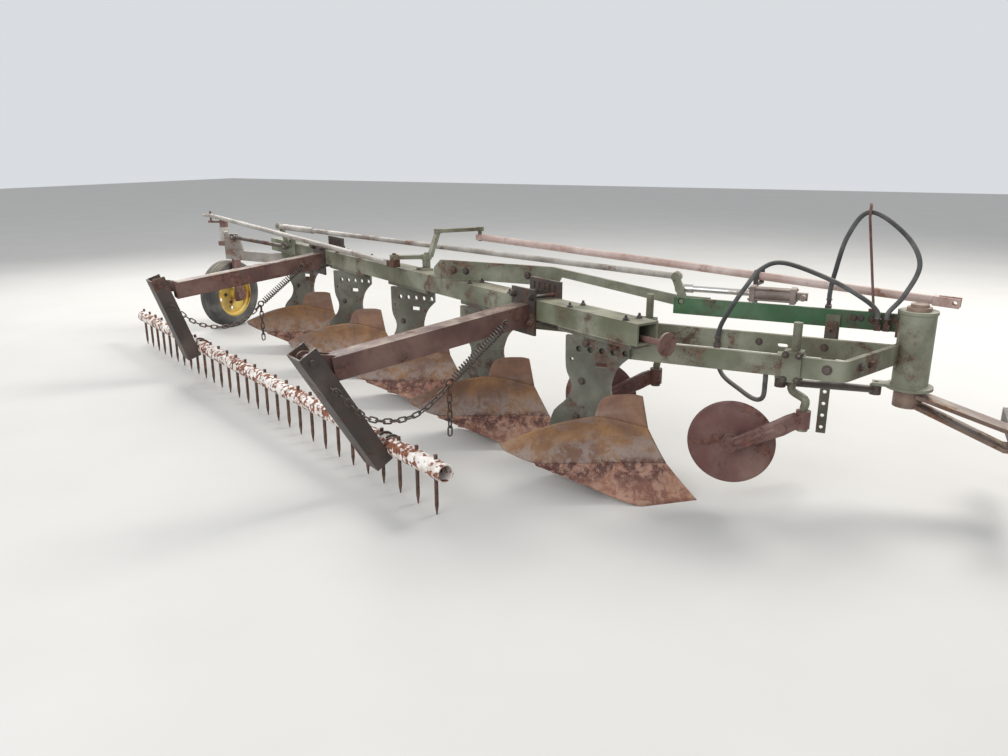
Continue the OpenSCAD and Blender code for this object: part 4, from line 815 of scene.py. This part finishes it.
BEAD_R = 0.0045
BEAD_SIDES = 8
POST_AT = (828, 480)
POST_R = 77
POST_ENDS = (538, 873)
POST_BEAD_STEPS = 90
TUBE_HALF = 63.5
FLANGE_FRONT = -250
FLANGE_SEAM_Z = 749
FLANGE_BEAD_STEP = 6
FLANGE_BEAD_STEPS = 84


def ripple(i):
    """A bead's radius, ring by ring."""
    return BEAD_R * (0.85 + 0.3 * (i % 2))


def add_bead(shape, path):
    """A rippled bead along a path."""
    bead = tube_mesh(path, ripple, BEAD_SIDES)
    mesh = bpy.data.meshes.new("bead")
    bead.to_mesh(mesh)
    bead.free()
    shape.from_mesh(mesh)
    bpy.data.meshes.remove(mesh)


def make_welds():
    shape = bmesh.new()
    turns = [2 * math.pi * k / POST_BEAD_STEPS for k in range(POST_BEAD_STEPS)]
    x, y = POST_AT
    for z in POST_ENDS:
        add_bead(shape, [at(x + POST_R * math.cos(a), y + POST_R * math.sin(a), z) for a in turns])
    for o in (-TUBE_HALF, TUBE_HALF):
        add_bead(shape, [along_tube(FLANGE_FRONT + FLANGE_BEAD_STEP * k, o, FLANGE_SEAM_Z)
                         for k in range(FLANGE_BEAD_STEPS)])
    piece("weld_beads", shape, "green_paint", "frame")


make_welds()

# Floor and light

FLOOR_TONES = ((0.47, 0.46, 0.44), (0.53, 0.52, 0.50))
FLOOR_SIZE = 60
FLOOR_AT = (-3, 0, GROUND)
PLOUGH_MIDDLE = Vector((-3.2, 0.2, 0.2))
SKY = (0.93, 0.96, 1.0, 1)
SKY_STRENGTH = 0.75

# Place, width, watts and colour of each lamp
LAMPS = {
    "key": ((1.5, 5.5, 6.5), 4.0, 820, (1.0, 0.97, 0.92)),
    "fill": ((-3.5, -7.5, 4.0), 6.0, 420, (0.95, 0.97, 1.0)),
    "rim": ((-9.0, 3.0, 4.5), 4.0, 320, (1.0, 0.98, 0.95)),
}


def pale_floor():
    coat = Coat("pale_floor")
    colour = coat.mix(coat.noise(1.4, detail=5, rough=0.5), *FLOOR_TONES)
    grit = coat.noise(40, detail=3, rough=0.5)
    return coat.finish(colour, 0.85, coat.bump(grit, 0.05, 0.001))


def make_floor():
    bpy.ops.mesh.primitive_plane_add(size=FLOOR_SIZE, location=FLOOR_AT)
    floor = bpy.context.object
    floor.name = "floor"
    floor.data.materials.append(pale_floor())


def area_light(name, place, size, watts, colour):
    """A square lamp that looks at the plough's middle."""
    data = bpy.data.lights.new(name, "AREA")
    data.size = size
    data.energy = watts
    data.color = colour
    light = bpy.data.objects.new(name, data)
    bpy.context.collection.objects.link(light)
    light.location = place
    light.rotation_mode = "QUATERNION"
    light.rotation_quaternion = (PLOUGH_MIDDLE - Vector(place)).to_track_quat("-Z", "Y")


def make_light():
    for name, lamp in LAMPS.items():
        area_light(name, *lamp)
    world = bpy.data.worlds.new("studio")
    world.use_nodes = True
    sky = world.node_tree.nodes["Background"]
    sky.inputs["Color"].default_value = SKY
    sky.inputs["Strength"].default_value = SKY_STRENGTH
    bpy.context.scene.world = world
    bpy.context.scene.view_settings.view_transform = "Standard"


make_floor()
make_light()
